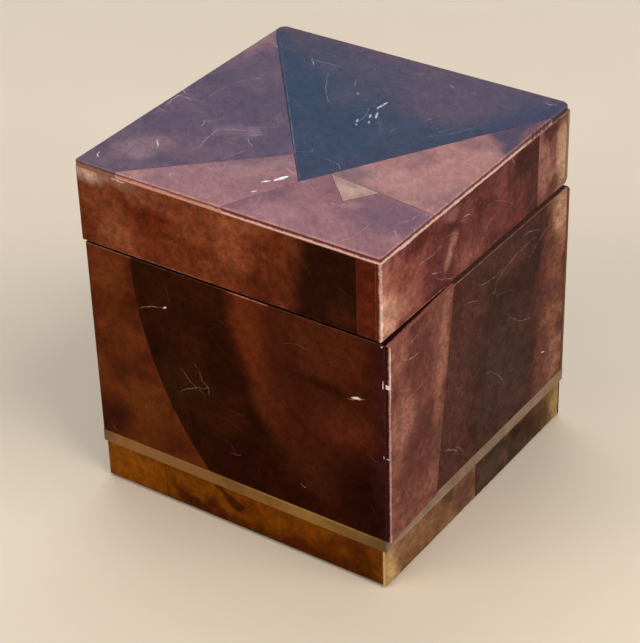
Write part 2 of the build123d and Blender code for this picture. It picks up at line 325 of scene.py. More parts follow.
class MaterialBoard(NodeBoard):
    """Board of a new material."""

    def __init__(self, name: str) -> None:
        """Make the material, with an empty tree.

        Args:
            name: Name of the material.
        """
        self.material = bpy.data.materials.new(name)
        self.material.use_nodes = True
        self.material.node_tree.nodes.clear()
        super().__init__(self.material.node_tree)

    def close(self, inputs: dict) -> bpy.types.Material:
        """End the material in a Principled shader.

        Args:
            inputs: Value or socket for each input of the shader that isn't left alone.

        Returns:
            The finished material.
        """
        shader = self.place("ShaderNodeBsdfPrincipled", inputs)
        self.place("ShaderNodeOutputMaterial", {"Surface": shader.outputs[0]})
        return self.material


class Effects:
    """Shader groups that several materials use, each built the first time it is asked for."""

    def __init__(self) -> None:
        """Start with none built."""
        self.built: dict[str, bpy.types.NodeTree] = {}

    def start(
        self, name: str, vectors: str, numbers: str = "", colours: str = ""
    ) -> tuple[NodeBoard, Outputs]:
        """Open a new shader group.

        Args:
            name: The group's name.
            vectors: Names of its vector inputs, with spaces between.
            numbers: Names of its number inputs, the same way.
            colours: Names of its colour inputs, the same way.

        Returns:
            Its board, and its inputs by name.
        """
        group = bpy.data.node_groups.new(name, "ShaderNodeTree")
        for kind, labels in ((VECTOR, vectors), (NUMBER, numbers), (COLOUR, colours)):
            for label in labels.split():
                group.interface.new_socket(name=label, in_out="INPUT", socket_type=kind)
        self.built[name] = group
        board = NodeBoard(group)
        return board, board.place("NodeGroupInput").outputs

    @staticmethod
    def end(board: NodeBoard, **gives: Socket) -> None:
        """Close a shader group.

        Args:
            board: The group's board.
            gives: For each output the socket that feeds it.
        """
        for label, socket in gives.items():
            kind = GROUP_SOCKETS[socket.type]
            board.tree.interface.new_socket(name=label, in_out="OUTPUT", socket_type=kind)
        board.place("NodeGroupOutput", gives)

    def use(self, board: NodeBoard, name: str, **inputs: object) -> Outputs:
        """Put a group into a tree, building it if it is new.

        Args:
            board: Board of the tree that uses the group.
            name: Name of the group, which is also the name of the method that builds it.
            inputs: Value or socket for each of its inputs.

        Returns:
            The group node's outputs, by name.
        """
        if name not in self.built:
            getattr(self, name)()
        return board.place("ShaderNodeGroup", inputs, node_tree=self.built[name]).outputs

    @staticmethod
    def drift(board: NodeBoard, place: Socket, solid: Socket, scale: float, reach: float) -> Socket:
        """Shift a place on a face this way and that.

        Args:
            board: Board of the group.
            place: Socket of the place.
            solid: Coordinates that the shifts are laid out on.
            scale: Number of swells a millimetre.
            reach: Millimetres from one end of the shifts to the other.

        Returns:
            The shifted place's socket.
        """
        shift = board.noise(solid, scale, detail=2.0, output="Color")
        shift = board.vectors("SUBTRACT", shift, (0.5, 0.5, 0.5))
        return board.vectors("ADD", place, board.vectors("MULTIPLY", shift, (reach, reach, 0.0)))

    def face_place(self) -> None:
        """Flatten object coordinates onto a face, in millimetres, and find a tile's edges."""
        board, given = self.start("face_place", "along up out centre")
        solid = board.millimetres()
        normal = board.place("ShaderNodeTexCoord").outputs["Normal"]
        along, up = (board.vectors("DOT_PRODUCT", solid, given[way]) for way in ("along", "up"))
        flat = board.place("ShaderNodeCombineXYZ", {0: along, 1: up}).outputs[0]
        flat = board.vectors("SUBTRACT", flat, given["centre"])
        moved = flat
        for scale, reach in ((0.07, 9.0), (0.5, 1.6)):
            moved = self.drift(board, moved, solid, scale, reach)
        facing = board.vectors("DOT_PRODUCT", normal, given["out"])
        rim = board.remap(facing, 0.3, 0.5, 1.0, 0.0)
        arris = board.remap(facing, 0.86, 0.96, 1.0, 0.0)
        self.end(
            board,
            place=moved,
            true_place=flat,
            shaky_place=self.drift(board, flat, solid, 0.3, 1.8),
            solid=solid,
            breaks=board.remap(board.noise(flat, 0.9, detail=2.0), 0.36, 0.52, 0.3, 1.0),
            rim=rim,
            arris=board.maths("SUBTRACT", arris, rim, clamp=True),
            stand=board.vectors("DOT_PRODUCT", solid, given["out"]),
            lift=board.vectors("DOT_PRODUCT", normal, given["up"]),
        )

    def cloud(self) -> None:
        """Tint a soft oval patch."""
        numbers = "turn softness strength"
        board, given = self.start("cloud", "place centre radii", numbers, "colour tint")
        arm = board.vectors("SUBTRACT", given["place"], given["centre"])
        arm = board.turned(arm, "Z_AXIS", Angle=given["turn"])
        reach = board.vectors("LENGTH", board.vectors("DIVIDE", arm, given["radii"]))
        inner, outer = board.minus(1.0, given["softness"]), board.plus(1.0, given["softness"])
        mask = board.times(board.remap(reach, inner, outer, 1.0, 0.0), given["strength"])
        self.end(board, colour=board.blend(mask, given["colour"], given["tint"]))

    @staticmethod
    def bent_line(board: NodeBoard, given: Outputs) -> tuple[Socket, Socket]:
        """Measure where a point lies on a bent line.

        Args:
            board: Board of the group.
            given: The group's inputs, with the place and the line's course.

        Returns:
            A number that is 0 at the line's ends and 1 at its middle, and the distance to its
            right.
        """
        arm = board.vectors("SUBTRACT", given["place"], given["start"])
        share = board.vectors("DOT_PRODUCT", arm, given["reach"])
        across = board.vectors("DOT_PRODUCT", arm, given["side"])
        middle = board.times(share, board.minus(4.0, board.times(share, 4.0)))
        return middle, board.minus(across, board.times(middle, given["bow"]))

    def sweep(self) -> None:
        """Tint the band to the right of a bent line, as far as its width."""
        numbers = "bow width softness strength"
        board, given = self.start("sweep", "place start reach side", numbers, "colour tint")
        _, across = self.bent_line(board, given)
        masks = []
        for gap in (across, board.minus(given["width"], across)):
            outside = board.times(given["softness"], -1.0)
            masks.append(board.remap(gap, outside, given["softness"]))
        mask = board.times(board.times(*masks), given["strength"])
        self.end(board, colour=board.blend(mask, given["colour"], given["tint"]))

    def scratch(self) -> None:
        """Draw one thin bent line, broken and thinner towards its ends, for scratches and painted
        highlight lines.
        """
        numbers = "bow half_width breaks strength"
        board, given = self.start("scratch", "place start reach side", numbers, "colour tint")
        middle, across = self.bent_line(board, given)
        half = board.times(given["half_width"], board.maths("SQRT", middle))
        gap = board.maths("ABSOLUTE", across)
        line = board.remap(gap, board.times(half, 0.4), half, 1.0, 0.0)
        mask = board.times(board.times(line, given["breaks"]), given["strength"])
        self.end(board, colour=board.blend(mask, given["colour"], given["tint"]), mask=mask)

    def shell_figure(self) -> None:
        """Give the clouding, the long fibres and the fine flecks of polished shell."""
        board, given = self.start("shell_figure", "solid grain seed", "size")
        placed = board.vectors("ADD", given["solid"], given["seed"])
        turned = board.turned(placed, "EULER_XYZ", Rotation=given["grain"])
        long_way = board.vectors("MULTIPLY", turned, (0.6, 1.0, 1.0))
        thin = board.vectors("MULTIPLY", turned, (0.22, 1.0, 1.0))
        scale = board.maths("DIVIDE", 1.0, given["size"])
        cloud = board.noise(long_way, scale, detail=4.0, roughness=0.5, distortion=0.4)
        fleck = board.noise(turned, 2.2, detail=2.0, roughness=0.6)
        self.end(
            board,
            cloud=board.remap(cloud, 0.32, 0.68),
            mottle=board.noise(turned, 0.3, detail=7.0, roughness=0.68, distortion=0.3),
            fibre=board.noise(thin, 0.8, detail=6.0, roughness=0.75, distortion=0.3),
            fleck=board.remap(fleck, 0.58, 0.7),
            swell=board.noise(placed, 0.06, detail=1.0),
        )

    def handling(self) -> None:
        """Give the hair scratches and the dust of a surface that has been handled for years."""
        board, given = self.start("handling", "solid", "amount")
        lines = []
        sets = ((0.05, 0.47, (1.0, 0.5, 1.3)), (0.075, 0.53, (0.7, 1.4, 0.5)))
        for scale, level, stretch in sets:
            bent = board.vectors("MULTIPLY", given["solid"], stretch)
            gap = board.maths("ABSOLUTE", board.minus(board.noise(bent, scale, detail=0.0), level))
            lines.append(board.remap(gap, 0.0008, 0.0035, 1.0, 0.0))
        breaks = board.remap(board.noise(given["solid"], 0.13), 0.5, 0.62)
        hairlines = board.times(board.larger(*lines), breaks)
        inputs = {"Vector": given["solid"], "Scale": 0.3}
        grains = board.place("ShaderNodeTexVoronoi", inputs).outputs
        size = board.place("ShaderNodeSeparateXYZ", {0: grains["Color"]}).outputs["X"]
        size = board.remap(size, 0.8, 1.0, 0.0, 0.09)
        speck = board.maths("LESS_THAN", grains["Distance"], size)
        self.end(
            board,
            hairlines=board.times(hairlines, given["amount"]),
            dust=board.times(speck, given["amount"]),
        )

    def edge_wear(self) -> None:
        """Find the edges of a piece and break the line of wear along them."""
        board, given = self.start("edge_wear", "solid", "radius")
        rounded = board.place("ShaderNodeBevel", {"Radius": given["radius"]}, samples=4).outputs[0]
        true = board.place("ShaderNodeNewGeometry").outputs["True Normal"]
        edge = board.remap(board.vectors("DOT_PRODUCT", rounded, true), 0.8, 0.985, 1.0, 0.0)
        patches = board.noise(given["solid"], 0.35, detail=4.0, roughness=0.65)
        patches = board.larger(board.remap(patches, 0.42, 0.6), 0.5)
        self.end(board, wear=board.times(edge, patches))

    def board_grain(self) -> None:
        """Give the rings and pores of a planed board."""
        board, given = self.start("board_grain", "solid stretch")
        long_way = board.vectors("MULTIPLY", given["solid"], given["stretch"])
        rings = board.noise(long_way, 0.35, detail=4.0, roughness=0.6, distortion=0.8)
        pores = board.noise(long_way, 3.2, roughness=0.6)
        rings = board.remap(rings, *NOISE_RANGE)
        self.end(board, rings=rings, pores=board.remap(pores, 0.52, 0.66))

    def nap(self) -> None:
        """Give the tufts and the brushed lie of short felt."""
        board, given = self.start("nap", "solid")
        tufts = board.noise(given["solid"], 4.5, detail=4.0, roughness=0.8)
        lie = board.noise(given["solid"], 0.09, distortion=0.8)
        self.end(board, tufts=board.remap(tufts, *NOISE_RANGE), lie=board.remap(lie, 0.35, 0.65))


effects = Effects()


# ---- marks on the shell ------------------------------------------------------------------------


@dataclass(frozen=True)
class Mark:
    """What all marks share: each tints the colour under it through a shader group.

    Attributes:
        group: Name of the group.
        layout: Output of the face_place group that the mark is laid out on.
        needs: Further outputs of it that the mark's group takes.
    """

    group: ClassVar[str]
    layout: ClassVar[str] = "place"
    needs: ClassVar[tuple[str, ...]] = ()

    def shape(self) -> dict[str, object]:
        """Give the group's inputs that set the mark's own shape."""
        raise NotImplementedError

    def lay(self, board: NodeBoard, ground: Outputs, colour: Socket) -> Outputs:
        """Lay the mark over the colour so far.

        Args:
            board: Board of the piece's material.
            ground: Outputs of the face_place group.
            colour: Socket of the colour so far.

        Returns:
            The group's outputs: the new colour, and a scratch's mask.
        """
        inputs = self.shape() | {name: ground[name] for name in self.needs}
        inputs |= {"place": ground[self.layout], "colour": colour}
        return effects.use(board, self.group, tint=self.tint, strength=self.strength, **inputs)


@dataclass(frozen=True)
class Cloud(Mark):
    """Soft oval patch of another tone, turned by some degrees."""

    group: ClassVar[str] = "cloud"

    centre: Spot
    radii: Spot
    tint: Shade
    strength: float = 0.8
    turn: float = 0.0
    softness: float = 0.6

    def shape(self) -> dict[str, object]:
        """Give the group's inputs that set the patch's shape.

        Returns:
            Its middle, its radii, its turn and how soft its rim is.
        """
        return {
            "centre": (*self.centre, 0.0),
            "radii": (*self.radii, 1.0),
            "turn": math.radians(-self.turn),
            "softness": self.softness,
        }


@dataclass(frozen=True)
class Line(Mark):
    """What a sweep and a scratch share: a bent line from one spot to another."""

    start: Spot
    end: Spot

    def course(self) -> dict[str, object]:
        """Work out where the line runs.

        Returns:
            Its start, its direction, its right-hand side and its bow.
        """
        run = Vector((*self.end, 0.0)) - Vector((*self.start, 0.0))
        side = tuple(Vector((run.y, -run.x, 0.0)).normalized())
        reach = tuple(run / run.length_squared)
        return {"start": (*self.start, 0.0), "reach": reach, "side": side, "bow": self.bow}


@dataclass(frozen=True)
class Sweep(Line):
    """Band of another tone to the right of a line, looking from its start to its end."""

    group: ClassVar[str] = "sweep"

    tint: Shade
    strength: float = 0.8
    width: float = 200.0
    bow: float = 0.0
    softness: float = 2.0

    def shape(self) -> dict[str, object]:
        """Give the line's course, the band's width and how soft its edges are."""
        return self.course() | {"width": self.width, "softness": self.softness}


@dataclass(frozen=True)
class ScratchAndHighlight(Line):
    """Thin pale line from one spot to another: a scratch, a small flake where it is short and wide,
    and along some edges a painted highlight.
    """

    group: ClassVar[str] = "scratch"
    layout: ClassVar[str] = "shaky_place"
    needs: ClassVar[tuple[str, ...]] = ("breaks",)

    strength: float = 0.5
    width: float = 0.3
    tint: Shade = (196, 178, 168)
    bow: float = 0.0

    def shape(self) -> dict[str, object]:
        """Give the line's course and half the scratch's width."""
        return self.course() | {"half_width": self.width / 2}


@dataclass(frozen=True)
class RubAndHighlight(ScratchAndHighlight):
    """Line that keeps to its course, as along an edge or a seam: rubbed lines, flakes and painted
    highlights.
    """

    layout: ClassVar[str] = "true_place"


# Near-white tint of real flecks of wear, and of the painted glints and painted highlight lines on
# the corners and top edges of body and lid.
CHIP_AND_GLINT = (240, 226, 214)
# Peach tint of the pale lines along the arrises at the lid's parting and under its top: a painted
# highlight.
PEACH_HIGHLIGHT = (222, 152, 126)


# ---- finishes ----------------------------------------------------------------------------------


FIGURE_STRIDES = (31.7, 17.3, 23.9)
CLOUD_SHARE = 0.8
FLECK_SHARE = 0.25
RUBBED_SHARE = 0.5
RUBBED_ROUGHNESS = 0.3
GLOSS_SPREAD = (-0.04, 0.06)
SHELL_RELIEF = 0.5
FIBRE_HEIGHT = 0.12
SWELL_HEIGHT = 3.0
FOOT_WAVER = 0.25
FOOT_FADE = (-0.35, 0.25)


@dataclass(frozen=True)
class ShellFinish:
    """One shade of polished shell: its tones, its figure and its gloss.

    Attributes:
        rim: Tone of a tile's sides.
        worn: Tone of its arrises, which is wear and painted highlight in one, and of hair
            scratches.
        grain: Turn of the fibres about X, Y and Z.
        foot: Tone of the sides where they lie nearer to the box than foot_top, if any does. The
            dark feet of the right face's tiles are painted shade in the gap beside the box; the
            pale foot of TOP_ROSE and its copies is a painted highlight along the rounded edge under
            the top.
        foot_lean: How much that limit rises along the face, a millimetre a millimetre.
        foot_lift: How much nearer it counts on sides that look up.
    """

    deep: Shade
    main: Shade
    light: Shade
    rim: Shade
    worn: Shade
    figure_size: float = 11.0
    grain: Triple = (0.0, 0.66, 0.76)
    roughness: float = 0.26
    sheen: float = 0.02
    # Strength of the pale arris line, which is worn edge and painted highlight in one.
    wear: float = 0.6
    handling: float = 0.25
    mottle: float = 0.2
    streaks: float = 0.15
    foot: Shade | None = None
    foot_top: float = 108.7
    foot_lean: float = 0.0
    foot_lift: float = 0.0

    def material(
        self,
        name: str,
        face: Face,
        centre: Spot,
        marks: tuple[Mark, ...],
        edge_marks: tuple[Mark, ...],
        seed: int,
    ) -> bpy.types.Material:
        """Make the material of one tile.

        Args:
            name: Name of the tile.
            face: The face that the tile lies on.
            centre: Where the marks are counted from on that face.
            marks: Clouds, sweeps and scratches, from the lowest layer up.
            edge_marks: Marks that show on the tile's edges too, painted glints among them.
            seed: Number that gives the tile a figure of its own.

        Returns:
            The material.
        """
        board = MaterialBoard(f"{name}_shell")
        ground = effects.use(
            board,
            "face_place",
            along=face.along,
            up=face.up,
            out=face.out,
            centre=(*centre, 0.0),
        )
        figure = effects.use(
            board,
            "shell_figure",
            solid=ground["solid"],
            grain=self.grain,
            size=self.figure_size,
            seed=tuple(seed * stride for stride in FIGURE_STRIDES),
        )
        cloud, fibre = figure["cloud"], figure["fibre"]
        share = board.remap(cloud, 0.5, 1.0, 0.0, CLOUD_SHARE)
        colour = board.blend(share, self.main, self.deep)
        share = board.remap(cloud, 0.0, 0.5, CLOUD_SHARE, 0.0)
        colour = board.blend(share, colour, self.light)
        scratched_and_highlit = 0.0
        for mark in marks:
            laid = mark.lay(board, ground, colour)
            colour = laid["colour"]
            # The masks of scratches and of painted highlight lines also roughen the surface.
            if "mask" in laid:
                scratched_and_highlit = board.larger(scratched_and_highlit, laid["mask"])
        veins = board.remap(fibre, 0.32, 0.68, 1 - self.streaks, 1 + self.streaks)
        spots = board.remap(figure["mottle"], 0.34, 0.66, 1 - self.mottle, 1 + self.mottle)
        colour = board.dimmed(colour, board.times(veins, spots))
        colour = board.blend(board.times(figure["fleck"], FLECK_SHARE), colour, self.deep)
        use = effects.use(board, "handling", solid=ground["solid"], amount=self.handling)
        rubbed = board.larger(use["hairlines"], use["dust"])
        colour = board.blend(board.times(rubbed, RUBBED_SHARE), colour, self.worn)
        colour = self.edged(board, ground, fibre, colour)
        for edge_mark in edge_marks:
            colour = edge_mark.lay(board, ground, colour)["colour"]
        spread = (self.roughness + change for change in GLOSS_SPREAD)
        rough = board.remap(cloud, 0.0, 1.0, *spread)
        scratched_and_highlit = board.times(board.larger(scratched_and_highlit, rubbed), RUBBED_ROUGHNESS)
        height = board.minus(board.times(fibre, FIBRE_HEIGHT), rubbed)
        height = board.plus(height, board.times(figure["swell"], SWELL_HEIGHT))
        return board.close(
            {
                "Base Color": colour,
                "Roughness": board.plus(rough, scratched_and_highlit),
                "Normal": board.relief(height, SHELL_RELIEF),
                "Specular IOR Level": self.sheen,
            }
        )

    def edged(self, board: NodeBoard, ground: Outputs, fibre: Socket, colour: Socket) -> Socket:
        """Colour the sides of a tile and the pale line of its arris, which is worn edge and painted
        highlight in one.

        Args:
            board: Board of the tile's material.
            ground: Outputs of the face_place group.
            fibre: Socket of the fibres, which break the line.
            colour: Socket of the colour so far.

        Returns:
            The new colour's socket.
        """
        side = self.rim
        # The foot tone paints shade into the gaps beside the box on the right face's tiles, and a
        # highlight along the rounded edge under the top on the top's pink tiles.
        if self.foot is not None:
            waver = board.remap(fibre, *NOISE_RANGE, -FOOT_WAVER, FOOT_WAVER)
            stand = board.plus(ground["stand"], waver)
            if self.foot_lean:
                along = board.place("ShaderNodeSeparateXYZ", {0: ground["true_place"]}).outputs["X"]
                stand = board.plus(stand, board.times(along, self.foot_lean))
                stand = board.plus(stand, board.times(ground["lift"], self.foot_lift))
            fade = (self.foot_top + change for change in FOOT_FADE)
            low = board.remap(stand, *fade, 1.0, 0.0)
            side = board.blend(low, side, self.foot)
        colour = board.blend(ground["rim"], colour, side)
        # The arris line stands for worn edges and a painted highlight on the edge.
        edge = board.times(ground["arris"], board.remap(fibre, 0.38, 0.56, 0.35, 1.0))
        return board.blend(board.times(edge, self.wear), colour, self.worn)


UMBER = ShellFinish(
    deep=(66, 23, 5), main=(89, 37, 9), light=(104, 48, 15), rim=(50, 20, 12), worn=(150, 104, 80)
)
LID_UMBER = replace(
    UMBER,
    deep=(93, 37, 15),
    main=(109, 49, 24),
    light=(127, 65, 36),
    rim=(58, 26, 18),
    mottle=0.28,
    streaks=0.22,
)
DARK = ShellFinish(
    deep=(37, 11, 1),
    main=(45, 15, 2),
    light=(56, 21, 4),
    rim=(26, 10, 6),
    worn=(140, 104, 88),
    sheen=0.01,
)
DUSK = replace(
    DARK,
    deep=(58, 29, 22),
    main=(69, 39, 31),
    light=(81, 44, 35),
    worn=(170, 134, 116),
    sheen=0.02,
    handling=0.4,
    mottle=0.28,
    streaks=0.3,
)
ROSE = ShellFinish(
    deep=(92, 42, 36),
    main=(107, 56, 49),
    light=(124, 70, 60),
    rim=(60, 22, 20),
    worn=(226, 184, 170),
    sheen=0.03,
    handling=0.4,
    mottle=0.28,
    streaks=0.24,
)
FAWN = replace(ROSE, deep=(124, 80, 68), main=(142, 96, 82), light=(158, 114, 94))
TOP_ROSE = replace(
    ROSE,
    deep=(144, 102, 101),
    main=(161, 115, 110),
    light=(171, 124, 116),
    rim=(104, 56, 52),
    wear=0.25,
    # Pale foot: a painted highlight along the rounded edge under the top.
    foot=(232, 188, 176),
    sheen=0.1,
    mottle=0.11,
    streaks=0.14,
    handling=0.6,
)
TOP_PINK = replace(TOP_ROSE, deep=(134, 96, 103), main=(148, 104, 108), light=(159, 115, 116))
TAN = ShellFinish(
    deep=(162, 124, 119),
    main=(173, 140, 126),
    light=(183, 151, 136),
    rim=(120, 80, 66),
    worn=(214, 188, 172),
    sheen=0.1,
    mottle=0.11,
    streaks=0.14,
)
# The blue-grey and mauve tones of the top's dark tiles are partly the shell's own colour and partly
# a painted reflection of the blue wall.
SLATE_AND_REFLECTION = replace(
    TAN,
    deep=(50, 63, 84),
    main=(55, 66, 87),
    light=(64, 69, 90),
    rim=(64, 24, 32),
    worn=(150, 142, 150),
    wear=0.15,
    handling=0.9,
)
MAUVE_AND_REFLECTION = replace(
    SLATE_AND_REFLECTION,
    deep=(89, 74, 91),
    main=(98, 79, 95),
    light=(108, 85, 99),
    rim=(72, 32, 36),
    worn=(176, 152, 158),
    foot=(140, 96, 78),
    foot_top=109.3,
)
AMBER = ShellFinish(
    deep=(90, 38, 1),
    main=(112, 57, 2),
    light=(122, 68, 6),
    rim=(50, 24, 8),
    worn=(150, 116, 76),
    figure_size=9.0,
    mottle=0.22,
    streaks=0.2,
)
PEBBLE = replace(AMBER, deep=(102, 66, 46), main=(130, 90, 60), light=(148, 108, 74))
SOOT = replace(AMBER, deep=(54, 34, 24), main=(70, 47, 35), light=(92, 60, 42))
OLIVE = replace(AMBER, deep=(104, 72, 36), main=(130, 98, 56), light=(146, 114, 68))


TARNISH_RANGE = (0.34, 0.62)
BRASS_GLOSS_SPREAD = (-0.08, 0.14)
DRAWN_ALONG = (0.08, 0.08, 6.0)
DRAWN_CONTRAST = 0.14
DRAWN_RELIEF = 0.2


@dataclass(frozen=True)
class BrassFinish:
    """Brass with tarnish in its clouds and bright metal on its edges."""

    clean: Shade
    tarnish: Shade
    bright: Shade
    tarnished: float = 0.8
    roughness: float = 0.42
    metal: float = 0.7
    edge: float = 0.6
    edge_width: float = 0.2

    def material(
        self, name: str, face: Face = Face.FRONT, marks: tuple[Mark, ...] = ()
    ) -> bpy.types.Material:
        """Make the material of one brass piece.

        Args:
            name: Name of the piece.
            face: The face that its marks are laid out on.
            marks: Clouds and scratches, from the lowest layer up.

        Returns:
            The material.
        """
        board = MaterialBoard(f"{name}_brass")
        solid = board.millimetres()
        clouds = board.noise(solid, 0.16, detail=6.0, roughness=0.65)
        stain = board.times(board.remap(clouds, *TARNISH_RANGE), self.tarnished)
        colour = board.blend(stain, self.clean, self.tarnish)
        if marks:
            ways = {"along": face.along, "up": face.up, "out": face.out}
            ground = effects.use(board, "face_place", **ways)
            for mark in marks:
                colour = mark.lay(board, ground, colour)["colour"]
        lines = board.noise(board.vectors("MULTIPLY", solid, DRAWN_ALONG), 1.0, roughness=0.7)
        level = board.remap(lines, *NOISE_RANGE, 1 - DRAWN_CONTRAST, 1 + DRAWN_CONTRAST)
        colour = board.dimmed(colour, level)
        edge = effects.use(board, "edge_wear", solid=solid, radius=self.edge_width * MM)["wear"]
        spread = (self.roughness + change for change in BRASS_GLOSS_SPREAD)
        rough = board.remap(clouds, *NOISE_RANGE, *spread)
        return board.close(
            {
                "Base Color": board.blend(board.times(edge, self.edge), colour, self.bright),
                "Roughness": rough,
                "Normal": board.relief(lines, DRAWN_RELIEF),
                "Metallic": self.metal,
            }
        )


STRIP_BRASS = BrassFinish(
    clean=(134, 86, 0),
    tarnish=(112, 72, 0),
    bright=(170, 132, 60),
    roughness=0.5,
    metal=0.1,
    edge=0.5,
    edge_width=0.4,
)
# Paler copy of the strip's brass for the right and back faces, which face the main lamp: painted
# light.
LIT_STRIP_BRASS = replace(
    STRIP_BRASS, clean=(144, 116, 94), tarnish=(120, 94, 76), bright=(190, 160, 136)
)
HINGE_BRASS = BrassFinish(
    clean=(190, 152, 88),
    tarnish=(128, 96, 54),
    bright=(232, 206, 150),
    tarnished=0.6,
    roughness=0.3,
    metal=0.95,
)


@dataclass(frozen=True)
class WoodFinish:
    """Planed board, stained and sealed."""

    dark: Shade = (52, 30, 18)
    pale: Shade = (96, 60, 36)
    pore: Shade = (30, 17, 11)
    worn: Shade = (140, 98, 66)
    pore_share: float = 0.7
    pore_relief: float = 0.4
    pore_depth: float = 0.06 * MM
    roughness: float = 0.5
    roughness_spread: float = 0.12
    edge: float = 0.35
    edge_width: float = 0.3

    def material(self, name: str, stretch: Triple) -> bpy.types.Material:
        """Make the material of one board.

        Args:
            name: Name of the board.
            stretch: Scale of the grain along each axis, small along the fibres.

        Returns:
            The material.
        """
        board = MaterialBoard(f"{name}_wood")
        solid = board.millimetres()
        grain = effects.use(board, "board_grain", solid=solid, stretch=stretch)
        rings, pores = grain["rings"], grain["pores"]
        colour = board.blend(rings, self.pale, self.dark)
        colour = board.blend(board.times(pores, self.pore_share), colour, self.pore)
        edge = effects.use(board, "edge_wear", solid=solid, radius=self.edge_width * MM)["wear"]
        roughest = self.roughness + self.roughness_spread
        sunk = board.times(pores, -1.0)
        return board.close(
            {
                "Base Color": board.blend(board.times(edge, self.edge), colour, self.worn),
                "Roughness": board.remap(rings, 0.0, 1.0, self.roughness, roughest),
                "Normal": board.relief(sunk, self.pore_relief, self.pore_depth),
            }
        )


@dataclass(frozen=True)
class FeltFinish:
    """Short dark felt."""

    slot: str = "felt"
    low: Shade = (34, 20, 20)
    high: Shade = (72, 38, 34)
    lint: Shade = (110, 84, 78)
    lint_amount: float = 0.6
    lie_levels: Spot = (0.82, 1.2)
    nap_relief: float = 0.9
    nap_depth: float = 0.25 * MM

    def material(self, name: str) -> bpy.types.Material:
        """Make the material of one pad.

        Args:
            name: Name of the pad.

        Returns:
            The material.
        """
        board = MaterialBoard(f"{name}_felt")
        solid = board.millimetres()
        nap = effects.use(board, "nap", solid=solid)
        colour = board.blend(nap["tufts"], self.low, self.high)
        colour = board.dimmed(colour, board.remap(nap["lie"], 0.0, 1.0, *self.lie_levels))
        dust = effects.use(board, "handling", solid=solid, amount=self.lint_amount)["dust"]
        return board.close(
            {
                "Base Color": board.blend(dust, colour, self.lint),
                "Normal": board.relief(nap["tufts"], self.nap_relief, self.nap_depth),
                "Roughness": 0.95,
                "Specular IOR Level": 0.1,
                "Sheen Weight": 0.06,
                "Sheen Roughness": 0.5,
            }
        )


# ---- sub-assemblies ----------------------------------------------------------------------------


def dress(node: str, material: bpy.types.Material) -> None:
    """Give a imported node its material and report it.

    Args:
        node: Name of the node.
        material: The material.
    """
    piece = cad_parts[node]
    if not piece.material_slots:
        piece.data.materials.append(material)
    for slot in piece.material_slots:
        slot.material = material
    log.info("dressed %s with %s", node, material.name)


@dataclass(frozen=True)
class Cladding:
    """Shell tiles that lie on one face of the box, the lid or the foot.

    Attributes:
        face: The face that the tiles lie on.
        tiles: The finish of each tile, from left to right.
        centre: Where their marks are counted from, in millimetres.
    """

    face: Face
    tiles: dict[str, ShellFinish]
    centre: Spot = (0.0, 0.0)

    def build(self, first_seed: int) -> int:
        """Dress every tile, each with a figure of its own.

        Args:
            first_seed: Number that the first tile's figure starts from.

        Returns:
            The number for the next face's first tile.
        """
        for seed, (node, finish) in enumerate(self.tiles.items(), first_seed):
            marks, edge_marks = MARKS[node], EDGE_MARKS.get(node, ())
            dress(node, finish.material(node, self.face, self.centre, marks, edge_marks, seed))
        return first_seed + len(self.tiles)


@dataclass
class Carcass:
    """Wooden walls and boards of the box and the lid."""

    finish: WoodFinish = field(default_factory=WoodFinish)
    fibre_run: float = 0.06

    def build(self) -> None:
        """Dress the boards, with the grain along each one's length."""
        across, inwards = (self.fibre_run, 1.0, 1.0), (1.0, self.fibre_run, 1.0)
        sides = {"front": across, "back": across, "left": inwards, "right": inwards}
        boards = {"floor_board": across, "lid_board": across}
        for body in ("body", "lid"):
            boards |= {f"{body}_wall_{side}": run for side, run in sides.items()}
        for node, run in boards.items():
            dress(node, self.finish.material(node, run))


@dataclass
class BrassWork:
    """The strip round the foot, the two hinges and their screws."""

    hinges: tuple[str, ...] = ("left", "right")
    hinge_parts: tuple[str, ...] = ("body_leaf", "lid_leaf", "pin")

    def build(self) -> None:
        """Dress the strip, the leaves, the pins and the screws."""
        # The right and back faces take the paler copy of the strip's brass, which is painted light.
        strips = {
            Face.FRONT: STRIP_BRASS,
            Face.RIGHT: LIT_STRIP_BRASS,
            Face.BACK: LIT_STRIP_BRASS,
            Face.LEFT: STRIP_BRASS,
        }
        for face, finish in strips.items():
            node = f"brass_strip_{face.name.lower()}"
            dress(node, finish.material(node, face, MARKS.get(node, ())))
        fittings = [f"hinge_{side}_{part}" for side in self.hinges for part in self.hinge_parts]
        for node in (*fittings, "body_hinge_screws", "lid_hinge_screws"):
            dress(node, HINGE_BRASS.material(node))


